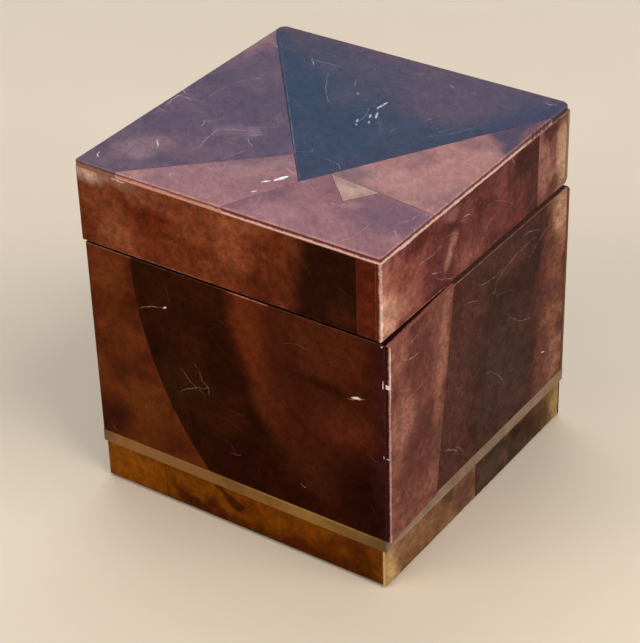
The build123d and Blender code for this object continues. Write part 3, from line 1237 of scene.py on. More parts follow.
@dataclass
class FeltPads:
    """The felt under the foot and the linings of floor and lid.

    Attributes:
        rounding: Radius of a pad's rubbed edge.
        edge_steps: Number of facets round that edge.
        edge_angle: Angle from which an edge is rounded.
        smooth_angle: Angle up to which the shading is smooth.
        waver: How far the surface of a lining rises and sinks.
        level_margin: How far a point may lie from the open side and still belong to it.
        cells: Number of cells along a side of a lining.
    """

    finish: FeltFinish = field(default_factory=FeltFinish)
    rounding: float = 0.3 * MM
    edge_steps: int = 3
    edge_angle: float = math.radians(50)
    smooth_angle: float = math.radians(40)
    waver: float = 0.09 * MM
    level_margin: float = 0.1 * MM
    cells: int = 40

    def build(self) -> None:
        """Lay the three pads."""
        self.pad("foot_felt_pad", "foot_felt", "box", 3.0 * MM, "floor_board", free_side=-1)
        self.pad("floor_lining_pad", "floor_lining", "box", 1.0 * MM, "floor_board", free_side=1)
        self.pad("lid_lining_pad", "lid_lining", "lid", 1.0 * MM, "lid_board", free_side=-1)

    def pad(
        self, name: str, node: str, body: str, corner: float, under: str, free_side: int
    ) -> None:
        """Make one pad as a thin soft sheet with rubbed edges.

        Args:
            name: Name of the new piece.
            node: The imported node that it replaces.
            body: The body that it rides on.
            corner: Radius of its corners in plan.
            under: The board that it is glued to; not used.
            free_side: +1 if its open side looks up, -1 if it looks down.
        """
        low, high = (Vector(point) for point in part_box(node))
        size = high - low
        bpy.ops.object.select_all(action="DESELECT")
        bpy.ops.mesh.primitive_grid_add(
            x_subdivisions=self.cells,
            y_subdivisions=self.cells,
            size=1.0,
            location=((low.x + high.x) / 2, (low.y + high.y) / 2, low.z),
        )
        pad = bpy.context.object
        pad.name = name
        pad.data.name = name
        pad.scale = (size.x, size.y, 1.0)
        bpy.ops.object.transform_apply(location=True, rotation=False, scale=True)
        self.round_corners(pad, low, high, corner)
        bpy.ops.object.mode_set(mode="EDIT")
        bpy.ops.mesh.select_all(action="SELECT")
        bpy.ops.mesh.extrude_region_move(TRANSFORM_OT_translate={"value": (0.0, 0.0, size.z)})
        bpy.ops.mesh.select_all(action="SELECT")
        bpy.ops.mesh.normals_make_consistent(inside=False)
        bpy.ops.object.mode_set(mode="OBJECT")
        self.settle(pad, low, high, free_side)
        bevel = pad.modifiers.new("rubbed_edge", "BEVEL")
        bevel.width = self.rounding
        bevel.segments = self.edge_steps
        bevel.limit_method = "ANGLE"
        bevel.angle_limit = self.edge_angle
        bpy.ops.object.modifier_apply(modifier=bevel.name)
        bpy.ops.object.shade_smooth_by_angle(angle=self.smooth_angle)
        pad.data.materials.append(self.finish.material(name))
        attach(pad, body)
        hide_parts(node)
        log.info("laid %s, %.1f by %.1f mm", name, size.x / MM, size.y / MM)

    @staticmethod
    def round_corners(pad: bpy.types.Object, low: Vector, high: Vector, corner: float) -> None:
        """Draw the points near each corner onto its arc.

        Args:
            pad: The flat pad.
            low: Lowest corner of its box.
            high: Highest corner of its box.
            corner: Radius of the arcs.
        """
        for point in pad.data.vertices:
            centre_x = min(max(point.co.x, low.x + corner), high.x - corner)
            centre_y = min(max(point.co.y, low.y + corner), high.y - corner)
            arm = Vector((point.co.x - centre_x, point.co.y - centre_y, 0.0))
            if arm.length > corner:
                arm.length = corner
                point.co.x = centre_x + arm.x
                point.co.y = centre_y + arm.y

    def settle(self, pad: bpy.types.Object, low: Vector, high: Vector, free_side: int) -> None:
        """Let the open side of a pad rise and sink a little inside its thickness.

        Args:
            pad: The thick pad.
            low: Lowest corner of its box.
            high: Highest corner of its box.
            free_side: +1 if its open side looks up, -1 if it looks down.
        """
        open_level = high.z if free_side > 0 else low.z
        for point in pad.data.vertices:
            if abs(point.co.z - open_level) > self.level_margin:
                continue
            x, y = point.co.x / MM, point.co.y / MM
            wave = 0.5 + 0.25 * math.sin(0.13 * x + 0.7) + 0.25 * math.cos(0.11 * y - 0.05 * x)
            point.co.z -= free_side * self.waver * wave


@dataclass(frozen=True)
class Lamp:
    """One square lamp that looks at the middle of the box."""

    name: str
    place: Triple
    size: float
    power: float
    colour: Triple
    aim: Triple = (0.0, 0.0, 0.05)

    def hang(self) -> None:
        """Put the lamp into the scene."""
        data = bpy.data.lights.new(self.name, "AREA")
        data.size = self.size
        data.energy = self.power
        data.color = self.colour
        lamp = bpy.data.objects.new(self.name, data)
        lamp.location = self.place
        sight = Vector(self.aim) - Vector(self.place)
        lamp.rotation_euler = sight.to_track_quat("-Z", "Y").to_euler()
        bpy.context.scene.collection.objects.link(lamp)


@dataclass
class Studio:
    """Floor, backdrop, lamps, world and camera.

    Attributes:
        place: Where the camera stands.
        turn: The camera's rotation about X, Y and Z, in degrees.
        lens: Its focal length in millimetres.
        sensor: The width of its sensor in millimetres.
        clip_start: How near it sees.
        reach: Half the length of the floor and of the wall.
        wall_turn: The wall's rotation in degrees, square to the camera's line.
        wall_place: Where the wall's middle lies.
        glow: How strongly floor and wall shine of themselves far off.
        glow_from: How far from the middle that starts.
        glow_to: How far from the middle it is full.
        room_light: Strength of the room's light.
        room_look: How much brighter the room looks than it shines.
    """

    place: Triple = (0.30717, -0.44501, 0.39766)
    turn: Triple = (56.9233, 1.4705, 34.1239)
    lens: float = 120.38
    sensor: float = 36.0
    clip_start: float = 0.01
    floor_shade: Shade = (232, 214, 190)
    wall_shade: Shade = (150, 176, 206)
    room_shade: Shade = (214, 222, 232)
    reach: float = 3.0
    wall_turn: Triple = (90, 0, 34)
    wall_place: Triple = (-0.62, 0.92, 1.2)
    glow: float = 0.55
    glow_from: float = 0.45
    glow_to: float = 1.9
    room_light: float = 0.38
    room_look: float = 0.42
    lamps: tuple[Lamp, ...] = (
        Lamp("window_lamp", (0.9, -0.1, 1.1), size=0.9, power=11.5, colour=(1.0, 0.96, 0.92)),
        Lamp("front_lamp", (-0.5, -1.2, 0.9), size=1.0, power=9.5, colour=(1.0, 0.93, 0.86)),
        Lamp("back_lamp", (-0.4, 0.5, 1.2), size=0.8, power=5.0, colour=(0.9, 0.95, 1.0)),
    )

    def build(self) -> None:
        """Set up everything round the box."""
        self.camera()
        self.plane("floor", self.plain("floor_matt", self.floor_shade, mottle=0.02))
        paint = self.plain("wall_matt", self.wall_shade, mottle=0.01)
        self.plane("wall", paint, self.wall_turn, self.wall_place)
        for lamp in self.lamps:
            lamp.hang()
        self.world()
        bpy.context.scene.view_settings.view_transform = "Standard"

    def camera(self) -> None:
        """Stand the camera and make it the scene's own."""
        data = bpy.data.cameras.new("view_camera")
        data.lens = self.lens
        data.sensor_width = self.sensor
        data.clip_start = self.clip_start
        camera = bpy.data.objects.new("view_camera", data)
        camera.location = self.place
        camera.rotation_euler = tuple(math.radians(angle) for angle in self.turn)
        bpy.context.scene.collection.objects.link(camera)
        bpy.context.scene.camera = camera

    def plain(self, name: str, shade: Shade, mottle: float) -> bpy.types.Material:
        """Make a plain matt material with a breath of unevenness, which glows far off.

        Args:
            name: Name of the material.
            shade: Its shade.
            mottle: How far its brightness strays.

        Returns:
            The material.
        """
        board = MaterialBoard(name)
        where = board.place("ShaderNodeTexCoord").outputs["Object"]
        level = board.remap(board.noise(where, 6.0), *NOISE_RANGE, 1.0 - mottle, 1.0 + mottle)
        tinted = board.dimmed(shade, level)
        distance = board.vectors("LENGTH", where)
        glow = board.remap(distance, self.glow_from, self.glow_to, 0.0, self.glow)
        return board.close(
            {
                "Base Color": tinted,
                "Emission Color": tinted,
                "Emission Strength": board.times(glow, board.seen()),
                "Roughness": 0.85,
                "Specular IOR Level": 0.15,
            }
        )

    def plane(
        self,
        name: str,
        material: bpy.types.Material,
        turn: Triple = (0, 0, 0),
        place: Triple = (0.0, 0.0, 0.0),
    ) -> None:
        """Set up a wide plane.

        Args:
            name: Name of the plane.
            material: Its material.
            turn: Its rotation about X, Y and Z, in degrees.
            place: Where its middle lies.
        """
        bpy.ops.object.select_all(action="DESELECT")
        bpy.ops.mesh.primitive_plane_add(size=2 * self.reach)
        plane = bpy.context.object
        plane.name = name
        plane.rotation_euler = tuple(math.radians(angle) for angle in turn)
        plane.location = place
        plane.data.materials.append(material)

    def world(self) -> None:
        """Fill the room with an even pale light, which looks paler than it shines."""
        world = bpy.data.worlds.new("room")
        world.use_nodes = True
        bpy.context.scene.world = world
        board = NodeBoard(world.node_tree)
        background = world.node_tree.nodes["Background"]
        board.feed(background.inputs["Color"], self.room_shade)
        level = board.maths("MULTIPLY_ADD", board.seen(), self.room_look, self.room_light)
        board.feed(background.inputs["Strength"], level)


# ---- the shell, face by face -------------------------------------------------------------------

MARKS: dict[str, tuple[Mark, ...]] = {
    "brass_strip_front": (
        Cloud((-20, 15.4), (14, 6), (132, 84, 28), 0.7),
        Cloud((-39, 15.4), (4, 4), (140, 84, 12), 0.5),
        Cloud((-50, 15.4), (5, 4), (96, 60, 8), 0.9),
        Cloud((-1, 15.4), (4, 4), (104, 66, 8), 0.6),
        Cloud((24, 15.4), (6, 4), (142, 104, 28), 0.7),
        Cloud((42, 15.4), (5, 4), (108, 74, 8), 0.6),
        Cloud((50, 15.4), (5, 4), (84, 58, 4), 0.9),
        RubAndHighlight((-2, 17.1), (49, 17.1), 0.6, 0.7, tint=(176, 136, 78)),
        RubAndHighlight((-49, 17.1), (-8, 17.1), 0.4, 0.5, tint=(150, 104, 60)),
    ),
    "brass_strip_right": (
        Cloud((-38, 15.4), (6, 4), (166, 132, 108), 0.6),
        Cloud((10, 15.4), (4, 4), (124, 98, 80), 0.6),
        Cloud((45, 15.4), (8, 4), (142, 108, 68)),
        RubAndHighlight((-50, 14), (-2, 14), 0.4, 0.6, tint=(196, 160, 130)),
    ),
    "body_tile_front_left": (
        Cloud((-45, 77), (8, 6), (108, 52, 26), 0.6),
        Cloud((-38.7, 55.5), (6, 9), (96, 42, 15), 0.7),
        Cloud((-32.4, 31.2), (7, 11), (99, 48, 11), turn=25),
        Cloud((-46.6, 21.5), (7, 9), (48, 12, 2), 0.85),
        Cloud((-32.5, 42.4), (9, 2.4), (66, 26, 7), 0.6),
        Cloud((-23.3, 22.5), (9, 5), (70, 23, 5), 0.6),
        Cloud((-13.2, 18.9), (9, 3), (90, 38, 10), 0.6),
        Cloud((-44.7, 43), (5, 5), (72, 28, 8), 0.5),
    ),
    "body_tile_front_right": (
        Cloud((-19.3, 45.9), (8, 8), (56, 27, 9), 0.6),
        Cloud((-5.6, 58), (4, 13), (37, 12, 2), 0.75, turn=6),
        Cloud((-21.5, 71.3), (8, 9), (54, 20, 7), 0.5),
        Sweep((30, 22), (-1.4, 84), (68, 27, 11), 0.95, bow=-7, softness=3.5),
        Cloud((6, 72), (5.5, 15), (104, 44, 20), 0.85, turn=6),
        Cloud((12, 52), (6, 8), (88, 38, 18), 0.6, turn=30),
        Cloud((31.1, 75.6), (15, 9), (84, 37, 18), 0.7),
        Cloud((37.8, 51.8), (9, 7), (90, 38, 20), 0.7),
        Cloud((18.4, 64.3), (5, 11), (62, 24, 10), 0.5),
        Cloud((31, 63.6), (10, 1.8), (46, 11, 3), 0.75, turn=-3),
        Cloud((47.5, 77), (4, 9), (54, 19, 7), 0.6),
        Cloud((45.4, 28.4), (13, 15), (33, 7, 3), 0.9),
        Cloud((4.6, 23.6), (15, 7), (42, 9, 3), 0.7),
        Cloud((24.2, 31.5), (9, 5), (62, 25, 10), 0.55),
        Cloud((30, 20.8), (10, 3), (40, 10, 3), 0.6),
        ScratchAndHighlight((-33.4, 66.4), (-22.8, 70.4), 0.45, 0.28, tint=(190, 156, 130), bow=-0.5),
        ScratchAndHighlight((-24, 69.9), (-22.6, 70.4), 0.8, 0.5, tint=CHIP_AND_GLINT),
        ScratchAndHighlight((-20, 51.6), (-10.6, 44.6), 0.34, tint=(170, 140, 110), bow=0.3),
        ScratchAndHighlight((-19.8, 42), (-12, 47.2), 0.36, tint=(170, 140, 110), bow=-0.5),
        ScratchAndHighlight((-14, 54.6), (-10.6, 48), 0.34, tint=(160, 124, 110), bow=-0.5),
        ScratchAndHighlight((-10.8, 49.4), (-9.4, 44.2), 0.36, 0.35, tint=(170, 140, 116), bow=-0.8),
        ScratchAndHighlight((-12.6, 46.2), (-8.8, 48.2), 0.25),
        ScratchAndHighlight((18, 72.9), (27.2, 73.4), 0.22, tint=(170, 120, 96), bow=-0.6),
        ScratchAndHighlight((38.6, 62), (44.4, 63.6), 0.5, 0.4, tint=(190, 150, 110)),
        Cloud((43, 63.4), (1.6, 0.4), CHIP_AND_GLINT, 1.0, turn=12),
        # Dark band along the tile's right end: painted shade beside the proud side tile.
        Cloud((49.8, 60), (2.4, 40), (58, 21, 22), 0.6),
        # White flecks down the worn corner: wear and painted glints in one.
        RubAndHighlight((50.1, 69.2), (50.2, 72), 0.95, 0.5, tint=CHIP_AND_GLINT),
        RubAndHighlight((49.6, 82.5), (50.2, 82.8), 0.95, 0.7, tint=CHIP_AND_GLINT),
        RubAndHighlight((50.2, 45.8), (50.2, 47), 0.8, 0.4, tint=CHIP_AND_GLINT),
        ScratchAndHighlight((21.8, 26.2), (23.8, 25.2), 0.45, 0.5),
        ScratchAndHighlight((-4.6, 31.2), (-1, 27.2), 0.26, 0.35, tint=(150, 100, 80), bow=-1.1),
        ScratchAndHighlight((-3, 27.5), (1.1, 27.9), 0.3, 0.4, tint=(150, 110, 100)),
        # Peach line along the body's top edge under the lid: a painted highlight.
        RubAndHighlight((-0.6, 83.1), (13.4, 83.1), 0.5, 0.5, tint=PEACH_HIGHLIGHT),
        ScratchAndHighlight((46, 28.6), (48.4, 23.4), 0.22, tint=(130, 90, 80), bow=0.5),
        ScratchAndHighlight((-34, 50), (-34.4, 32), 0.3, tint=(150, 90, 50), bow=0.6),
    ),
    "body_tile_right_front": (
        Cloud((-45.1, 78.6), (6, 6), (147, 90, 76)),
        Cloud((-44.4, 54), (6, 9), (156, 100, 87)),
        Cloud((-33.6, 67.4), (6, 9), (94, 46, 36), 0.7),
        Cloud((-33.5, 44.4), (7, 7), (97, 51, 43), 0.75),
        Cloud((-21, 66), (2.4, 20), (156, 102, 82), turn=-8),
        Cloud((-25, 37), (3.5, 6), (92, 52, 42), 0.6),
        Cloud((-26.7, 24.4), (5, 8), (135, 86, 70), 0.6),
        Cloud((-41.5, 32.1), (5, 6), (108, 61, 49), 0.5),
        ScratchAndHighlight((-43.1, 75.1), (-35.2, 72.8), 0.55, 0.35, bow=0.6),
        ScratchAndHighlight((-41.1, 78.4), (-33.1, 80.1), 0.4, bow=0.5),
        # Pale pink line down the front edge: a painted highlight; the white flecks on it are wear
        # and painted glints in one.
        RubAndHighlight((-50.4, 0), (-50.4, 90), 0.75, 0.5, tint=(206, 140, 132)),
        RubAndHighlight((-50.4, 64), (-50.4, 85), 0.8, 0.7, tint=CHIP_AND_GLINT),
    ),
    "body_tile_right_back": (
        Sweep((-2.7, 84), (-8.8, 17), (82, 46, 38), 0.85, softness=5),
        Cloud((-13, 79.2), (6, 5), (72, 32, 22), 0.6),
        Cloud((-12, 50), (6, 8), (84, 50, 46), 0.6),
        Cloud((6.1, 63.4), (4, 6), (54, 31, 23), 0.75),
        Cloud((12.9, 37), (13, 16), (66, 46, 39), 0.5),
        Cloud((27.2, 67), (6, 11), (54, 26, 18), 0.75),
        Cloud((17.7, 74.9), (8, 3), (82, 46, 34), 0.5),
        Sweep((32, 17), (36.6, 84), (106, 61, 47), 0.95, bow=1, softness=3),
        Cloud((36, 55.9), (3, 12), (96, 46, 38), 0.6),
        Cloud((46.4, 75), (5, 8), (186, 138, 108), 0.95),
        Cloud((45, 60), (5, 8), (132, 80, 58), 0.75),
        Cloud((45.7, 27), (5, 10), (148, 98, 76)),
        Cloud((43.6, 43.3), (6, 5), (142, 88, 62), 0.65),
        Cloud((49.1, 57.3), (3, 4), (80, 40, 28), 0.7),
        Cloud((48.6, 36), (2.5, 3.5), (84, 44, 30), 0.7),
        RubAndHighlight((36.3, 31.7), (38.4, 30.8), 0.95, 0.7, tint=(240, 215, 200)),
        ScratchAndHighlight((-19.7, 29.5), (-12.7, 25.3), bow=-0.5),
        ScratchAndHighlight((-13.7, 27.6), (-8.7, 22.2), 0.35, 0.25),
        ScratchAndHighlight((26.9, 70.1), (41.7, 76), 0.4, bow=-0.8),
        ScratchAndHighlight((-2.8, 76.4), (11.5, 74.6), 0.45, bow=1),
        ScratchAndHighlight((7.3, 71.8), (31.2, 75.4), 0.4, bow=-1.6),
        ScratchAndHighlight((21.9, 79.8), (34.3, 75.9), 0.4, 0.28, bow=-0.8),
        ScratchAndHighlight((-10, 74.1), (-1.9, 71.1), 0.4),
        ScratchAndHighlight((15.3, 56.9), (29.6, 48.1), 0.3, bow=1.4),
        ScratchAndHighlight((0.7, 44.6), (14.8, 31.9), 0.25, bow=-1.8),
    ),
    "body_tile_back_right": (
        Sweep((0, 17), (-8, 84), (92, 50, 34), bow=4, softness=4),
        Cloud((-36, 66), (10, 12), (92, 56, 44), 0.6),
        Cloud((-30, 30), (12, 8), (52, 28, 20), 0.7),
        Cloud((12, 58), (6, 14), (112, 62, 42), 0.6, turn=10),
        ScratchAndHighlight((-40, 60), (-24, 66), bow=1.2),
        ScratchAndHighlight((-12, 32), (-2, 24), 0.4, bow=-0.8),
    ),
    "body_tile_back_left": (
        Cloud((34, 68), (9, 11), (108, 52, 24), 0.7),
        Cloud((44, 34), (7, 12), (58, 20, 6), 0.7),
        Cloud((26, 28), (6, 8), (99, 48, 14), 0.6),
        ScratchAndHighlight((30, 52), (44, 47), 0.4, bow=-1),
    ),
    "body_tile_left_back": (
        Cloud((-38, 70), (9, 9), (110, 54, 26), 0.7),
        Cloud((-20, 40), (10, 14), (60, 24, 8), 0.7, turn=-15),
        Cloud((-42, 28), (7, 9), (98, 46, 14), 0.6),
        Cloud((2, 72), (8, 8), (74, 28, 10), 0.6),
        ScratchAndHighlight((-30, 58), (-14, 64), 0.45, bow=1.5),
        ScratchAndHighlight((-8, 34), (-2, 26), 0.35),
    ),
    "body_tile_left_front": (
        Sweep((34, 17), (28, 84), (74, 30, 12), 0.9, bow=-3, softness=4),
        Cloud((40, 66), (6, 12), (92, 40, 18), 0.6),
        Cloud((22, 34), (8, 10), (40, 11, 4), 0.7),
        ScratchAndHighlight((18, 48), (30, 42), 0.45, bow=0.8),
    ),
    "lid_tile_front_left": (
        Cloud((-40, 98), (7, 7), (128, 68, 38), 0.75),
        Cloud((-27, 105.4), (6, 3.4), (130, 70, 48), 0.75),
        Cloud((-37.2, 89.1), (7, 3.5), (136, 78, 48), 0.7),
        Cloud((-46.1, 89), (4, 5), (96, 40, 15), 0.5),
        Cloud((-6.4, 102.8), (9, 6), (121, 61, 32), 0.6),
        Cloud((3, 98), (5, 8), (140, 74, 44), 0.75),
        Cloud((3.8, 106.1), (7, 3), (142, 78, 48), 0.7),
        Cloud((-23.2, 96.1), (8, 6), (94, 34, 12), 0.7),
        Cloud((-19.9, 88.4), (8, 3.5), (109, 48, 22), 0.5),
        Cloud((9.9, 88.8), (7, 5), (80, 27, 8), 0.75),
        Cloud((18.7, 92.6), (9, 9), (86, 33, 13), 0.7),
        Sweep((22, 84), (24.4, 109.6), (40, 13, 2), 1.0, softness=4.5),
        Cloud((38.6, 89.1), (4, 5), (67, 27, 10), 0.6),
        Cloud((36.6, 109), (6, 1.6), (63, 16, 7), 0.5),
        Cloud((-47.6, 108), (6, 4.4), (196, 158, 140), 0.85),
        # Pale spot and white dash at the top edge, and pale lines along the top edge and the
        # parting: painted highlights.
        Cloud((-36.6, 108.6), (8, 3), (160, 108, 90), 0.75),
        ScratchAndHighlight((-38, 107.4), (-33, 107.7), 0.7, 0.8, tint=CHIP_AND_GLINT),
        RubAndHighlight((-10, 107.9), (44.4, 107.9), 0.6, 0.4, tint=(206, 140, 122)),
        RubAndHighlight((-46, 84.1), (-3.2, 84.4), 0.5, 0.6, tint=(160, 104, 74)),
    ),
    "lid_tile_front_right": (
        Cloud((47, 97.3), (2.5, 7), (86, 30, 13), 0.5),
        # Pale line along the top edge: a painted highlight.
        RubAndHighlight((42.5, 107.9), (51, 107.9), 0.6, 0.4, tint=(206, 140, 122)),
    ),
    "lid_tile_right_front": (
        Cloud((-47.8, 92), (5, 12), (216, 160, 138), 0.95),
        Cloud((-47.2, 102.8), (5, 5), (164, 99, 87), 0.7),
        Cloud((-40.6, 89.4), (7, 4.4), (188, 126, 104)),
        Cloud((-42.7, 98.4), (4, 5), (140, 71, 57), 0.7),
        Cloud((-33.6, 92.2), (6, 10), (148, 83, 70)),
        Cloud((-31.6, 104.8), (6, 3), (84, 27, 25), 0.9),
        Cloud((-42.6, 105.6), (3.4, 3), (146, 80, 70), 0.85),
        Cloud((-25, 91.2), (6, 6), (99, 48, 44), 0.7),
        Cloud((-17.6, 93), (1.8, 4.4), (176, 120, 106), 0.85, turn=-24),
        Cloud((-14, 98), (2.6, 2.4), (168, 110, 98), turn=-40),
        Cloud((-6.7, 87.4), (7, 4.6), (138, 80, 66), turn=-30),
        Cloud((-3.4, 94.5), (4, 5), (95, 41, 38), 0.7),
        Cloud((-22, 103.6), (4, 3), (90, 40, 36), 0.6),
        Cloud((-15.6, 105.6), (4, 2), (150, 94, 88), 0.75),
        Cloud((-17.5, 88), (4, 4), (88, 39, 36), 0.85),
        Cloud((-6, 101.8), (4, 3), (122, 67, 62), 0.6),
        Cloud((11.2, 102.7), (3, 6), (128, 73, 67), 0.6),
        Cloud((4, 92), (5, 3.4), (116, 60, 52), 0.6),
        Cloud((3.4, 105.4), (4, 2.6), (112, 58, 52), 0.6),
        Cloud((25.4, 103.2), (8, 6), (56, 18, 14), 0.92),
        Cloud((28.1, 92.4), (4, 8), (74, 34, 29), 0.7),
        ScratchAndHighlight((-33.3, 98.3), (-20.5, 98.4), 0.6, bow=0.5),
        ScratchAndHighlight((-17.9, 99.9), (-11.7, 97.8), 0.6, bow=-0.4),
        ScratchAndHighlight((-10, 101.4), (-5.1, 100.2), 0.7, 0.35, bow=-0.4),
        ScratchAndHighlight((-26.9, 91.6), (-20.3, 90.2), 0.55, bow=-0.5),
        ScratchAndHighlight((-23.2, 89.9), (-13.7, 84.8), 0.4, bow=0.6),
        ScratchAndHighlight((2.9, 99), (18.7, 91.6), 0.3, bow=-1.5),
        # Peach and white lines along the top edge and the parting, and pale lines down the front
        # corner: painted highlights.
        RubAndHighlight((-60, 107.8), (30, 107.8), 0.6, 0.4, tint=PEACH_HIGHLIGHT),
        ScratchAndHighlight((-44, 107.8), (-29, 107.9), 0.8, 0.8, tint=CHIP_AND_GLINT),
        ScratchAndHighlight((-22, 107.8), (21, 108), 0.7, 0.7, tint=CHIP_AND_GLINT, bow=-0.2),
        RubAndHighlight((-46, 84.3), (-16, 84.3), 0.6, 0.5, tint=PEACH_HIGHLIGHT),
        RubAndHighlight((-50.3, 70), (-50.3, 122), 0.95, 1.1, tint=(232, 170, 156)),
        RubAndHighlight((-50.4, 82), (-50.4, 97), 0.7, 1.2, tint=CHIP_AND_GLINT),
    ),
    "lid_tile_right_back": (
        # The pale clouds at (35, 97) and (47.4, 96) draw a painted highlight.
        Cloud((35, 97), (3.4, 11), (148, 98, 88), 0.7, softness=0.4),
        Cloud((40.2, 106), (4.2, 5), (80, 36, 32), 0.95, turn=-10, softness=0.4),
        Cloud((41.6, 97), (1.6, 7), (116, 62, 58), 0.6),
        Cloud((47.4, 96), (3.6, 8.4), (180, 142, 112), 0.95, softness=0.35),
        Cloud((41.6, 86.4), (3, 2.6), (98, 52, 38), 0.9, softness=0.35),
        Cloud((50, 97.6), (1.4, 4), (122, 92, 58), 0.7),
        Cloud((48.6, 107.4), (3, 2), (112, 76, 68), 0.7),
        ScratchAndHighlight((45, 105), (44.2, 86), 0.5, 0.5, tint=(150, 96, 90), bow=0.5),
        ScratchAndHighlight((33.4, 103.5), (32.2, 86.8), 0.35, 0.4, tint=(190, 146, 128)),
    ),
    "lid_tile_back_right": (
        Cloud((-32, 98), (9, 7), (126, 70, 44), 0.6),
        Cloud((-8, 92), (8, 6), (76, 28, 10), 0.7),
        Cloud((12, 103), (7, 6), (118, 62, 36), 0.6),
        ScratchAndHighlight((-20, 100), (-6, 104), 0.4, bow=0.8),
    ),
    "lid_tile_back_left": (
        Cloud((38, 99), (6, 8), (146, 88, 72), 0.7),
        Cloud((46, 92), (4, 5), (88, 36, 32), 0.7),
    ),
    "lid_tile_left_back": (
        Cloud((-36, 95), (8, 8), (122, 66, 40), 0.6),
        Cloud((-10, 100), (9, 7), (84, 30, 12), 0.7),
        Cloud((10, 92), (6, 5), (116, 60, 34), 0.6),
        ScratchAndHighlight((-26, 90), (-12, 93), 0.4, bow=0.8),
    ),
    "lid_tile_left_front": (
        Cloud((32, 96), (6, 8), (140, 82, 68), 0.7),
        Cloud((45, 104), (5, 5), (90, 38, 33), 0.7),
    ),
    "foot_tile_front_left": (
        Cloud((-41, 6.6), (13, 6), (132, 72, 6), 0.85),
        Cloud((-31, 5), (3, 4), (112, 60, 2), 0.5),
    ),
    "foot_tile_front_right": (
        Cloud((-22, 10), (4, 3), (122, 68, 10), 0.6),
        Cloud((-17, 3.4), (6, 1.8), (58, 20, 2), 0.9, turn=-8, softness=0.4),
        Cloud((-22.3, 5.4), (3, 2), (78, 34, 3)),
        Cloud((-10, 5.4), (2.2, 1.6), (64, 26, 4), 0.7),
        Cloud((-6.6, 10.8), (4, 1.3), (62, 22, 3), 0.85, turn=-14, softness=0.4),
        Cloud((-1, 8.4), (3.4, 1.6), (54, 18, 3), 0.9, turn=-20, softness=0.4),
        Cloud((14.6, 8.6), (9, 5), (118, 60, 2), 0.7),
        Cloud((31, 6.4), (4, 4), (82, 32, 1)),
        Cloud((37, 10.6), (5, 3), (82, 34, 1), 0.7),
        Cloud((42, 6.6), (5, 7), (74, 28, 1)),
        Cloud((48.4, 9.4), (3, 4), (108, 54, 6), 0.7),
        Cloud((10, 1.4), (46, 3), (66, 20, 0), 0.75),
        ScratchAndHighlight((-28, 1), (49, 1.2), 0.5, 0.9, tint=(60, 24, 6)),
    ),
    "foot_tile_right_front": (
        Cloud((-48.6, 5), (4, 9), (200, 162, 108), 0.95),
        Cloud((-34.6, 5.3), (5, 4), (142, 100, 66), 0.6),
        Cloud((-29, 10.8), (4, 3), (104, 68, 46), 0.6),
        Cloud((-38, 9.4), (8, 3.4), (146, 102, 72), 0.6),
        Cloud((-17.4, 11.6), (3.6, 2.4), (84, 50, 32), 0.85),
        Cloud((-8, 6.2), (6, 6), (100, 64, 48), 0.85),
    ),
    "foot_tile_right_middle": (
        Cloud((10.4, 6), (6, 5), (84, 62, 48), 0.7),
        Cloud((24, 10.4), (5, 2.4), (42, 18, 8), 0.9, turn=-10),
        Cloud((30.4, 8), (4, 4.5), (54, 28, 17), 0.85, turn=-30),
        Cloud((36.6, 8), (3, 6), (84, 52, 28)),
    ),
    "foot_tile_right_back": (
        Cloud((40, 8), (3.4, 7), (88, 56, 30), 0.9),
        Cloud((48.6, 5), (3.6, 7), (172, 136, 84), 0.9),
    ),
    "foot_tile_back_right": (Cloud((-30, 7), (9, 4), (92, 60, 32)),),
    "foot_tile_back_left": (Cloud((30, 6), (8, 3), (74, 32, 4)),),
    "foot_tile_left_whole": (
        Cloud((-28, 8), (10, 4), (80, 36, 4), 0.7),
        Cloud((8, 6), (6, 3), (70, 26, 3), 0.7),
        Cloud((34, 9), (8, 3), (120, 68, 12), 0.6),
    ),
    # The blue-grey and mauve tints of the top's marks are partly the shell's own colour and partly
    # a painted reflection of the blue wall.
    "top_tile_left": (
        Cloud((-50.5, 36.1), (4.5, 13), (138, 103, 106), 0.9),
        Cloud((-49.4, 20), (3, 7), (108, 84, 98), 0.6),
        Cloud((-46, 9), (5, 5), (82, 68, 86), 0.6),
        Cloud((-30.6, 1.4), (12, 7), (91, 75, 92), 0.6),
        Cloud((-45.5, -6.4), (8, 6), (103, 82, 97), 0.5),
        Cloud((-21, -13.5), (9, 3.4), (122, 98, 110), 0.6, turn=20),
        Cloud((-17.4, -11.6), (2.6, 2), (136, 110, 120), 0.6),
        Cloud((-27.4, -31.5), (9, 5), (118, 88, 99), 0.7),
        Cloud((-39, -35.4), (5, 9), (138, 106, 112), 0.75, turn=-24),
        Cloud((-35.6, -39.4), (3, 2.6), (148, 118, 121), 0.5, turn=30),
        Cloud((-43.8, -47), (9, 3), (114, 88, 100), 0.6),
        ScratchAndHighlight((-51, -0.4), (-47.7, -3.4), 0.6, 0.5),
        ScratchAndHighlight((-50.8, -5.2), (-41.6, -4.4), 0.45, 0.4, bow=-0.3),
        ScratchAndHighlight((-49.4, -4), (-48.5, -11.5), 0.55, 0.45, bow=0.4),
        ScratchAndHighlight((-50.6, -13.6), (-44.4, -15.2), 0.4, 0.4),
        ScratchAndHighlight((-47.8, -12.4), (-48.6, -18.8), 0.35, 0.35),
        ScratchAndHighlight((-37.7, -29.7), (-34.5, -33.8), 0.8, 0.5, tint=(230, 220, 220)),
        ScratchAndHighlight((-47.7, -43.7), (-45.8, -46.5), 0.85, 0.6, tint=(235, 225, 225)),
        ScratchAndHighlight((-26.6, -15.3), (-24.4, -28.2), 0.4, 0.45, bow=0.8),
        ScratchAndHighlight((-27.8, -16.3), (-17.3, -11.2), 0.4, 0.4, bow=-0.4),
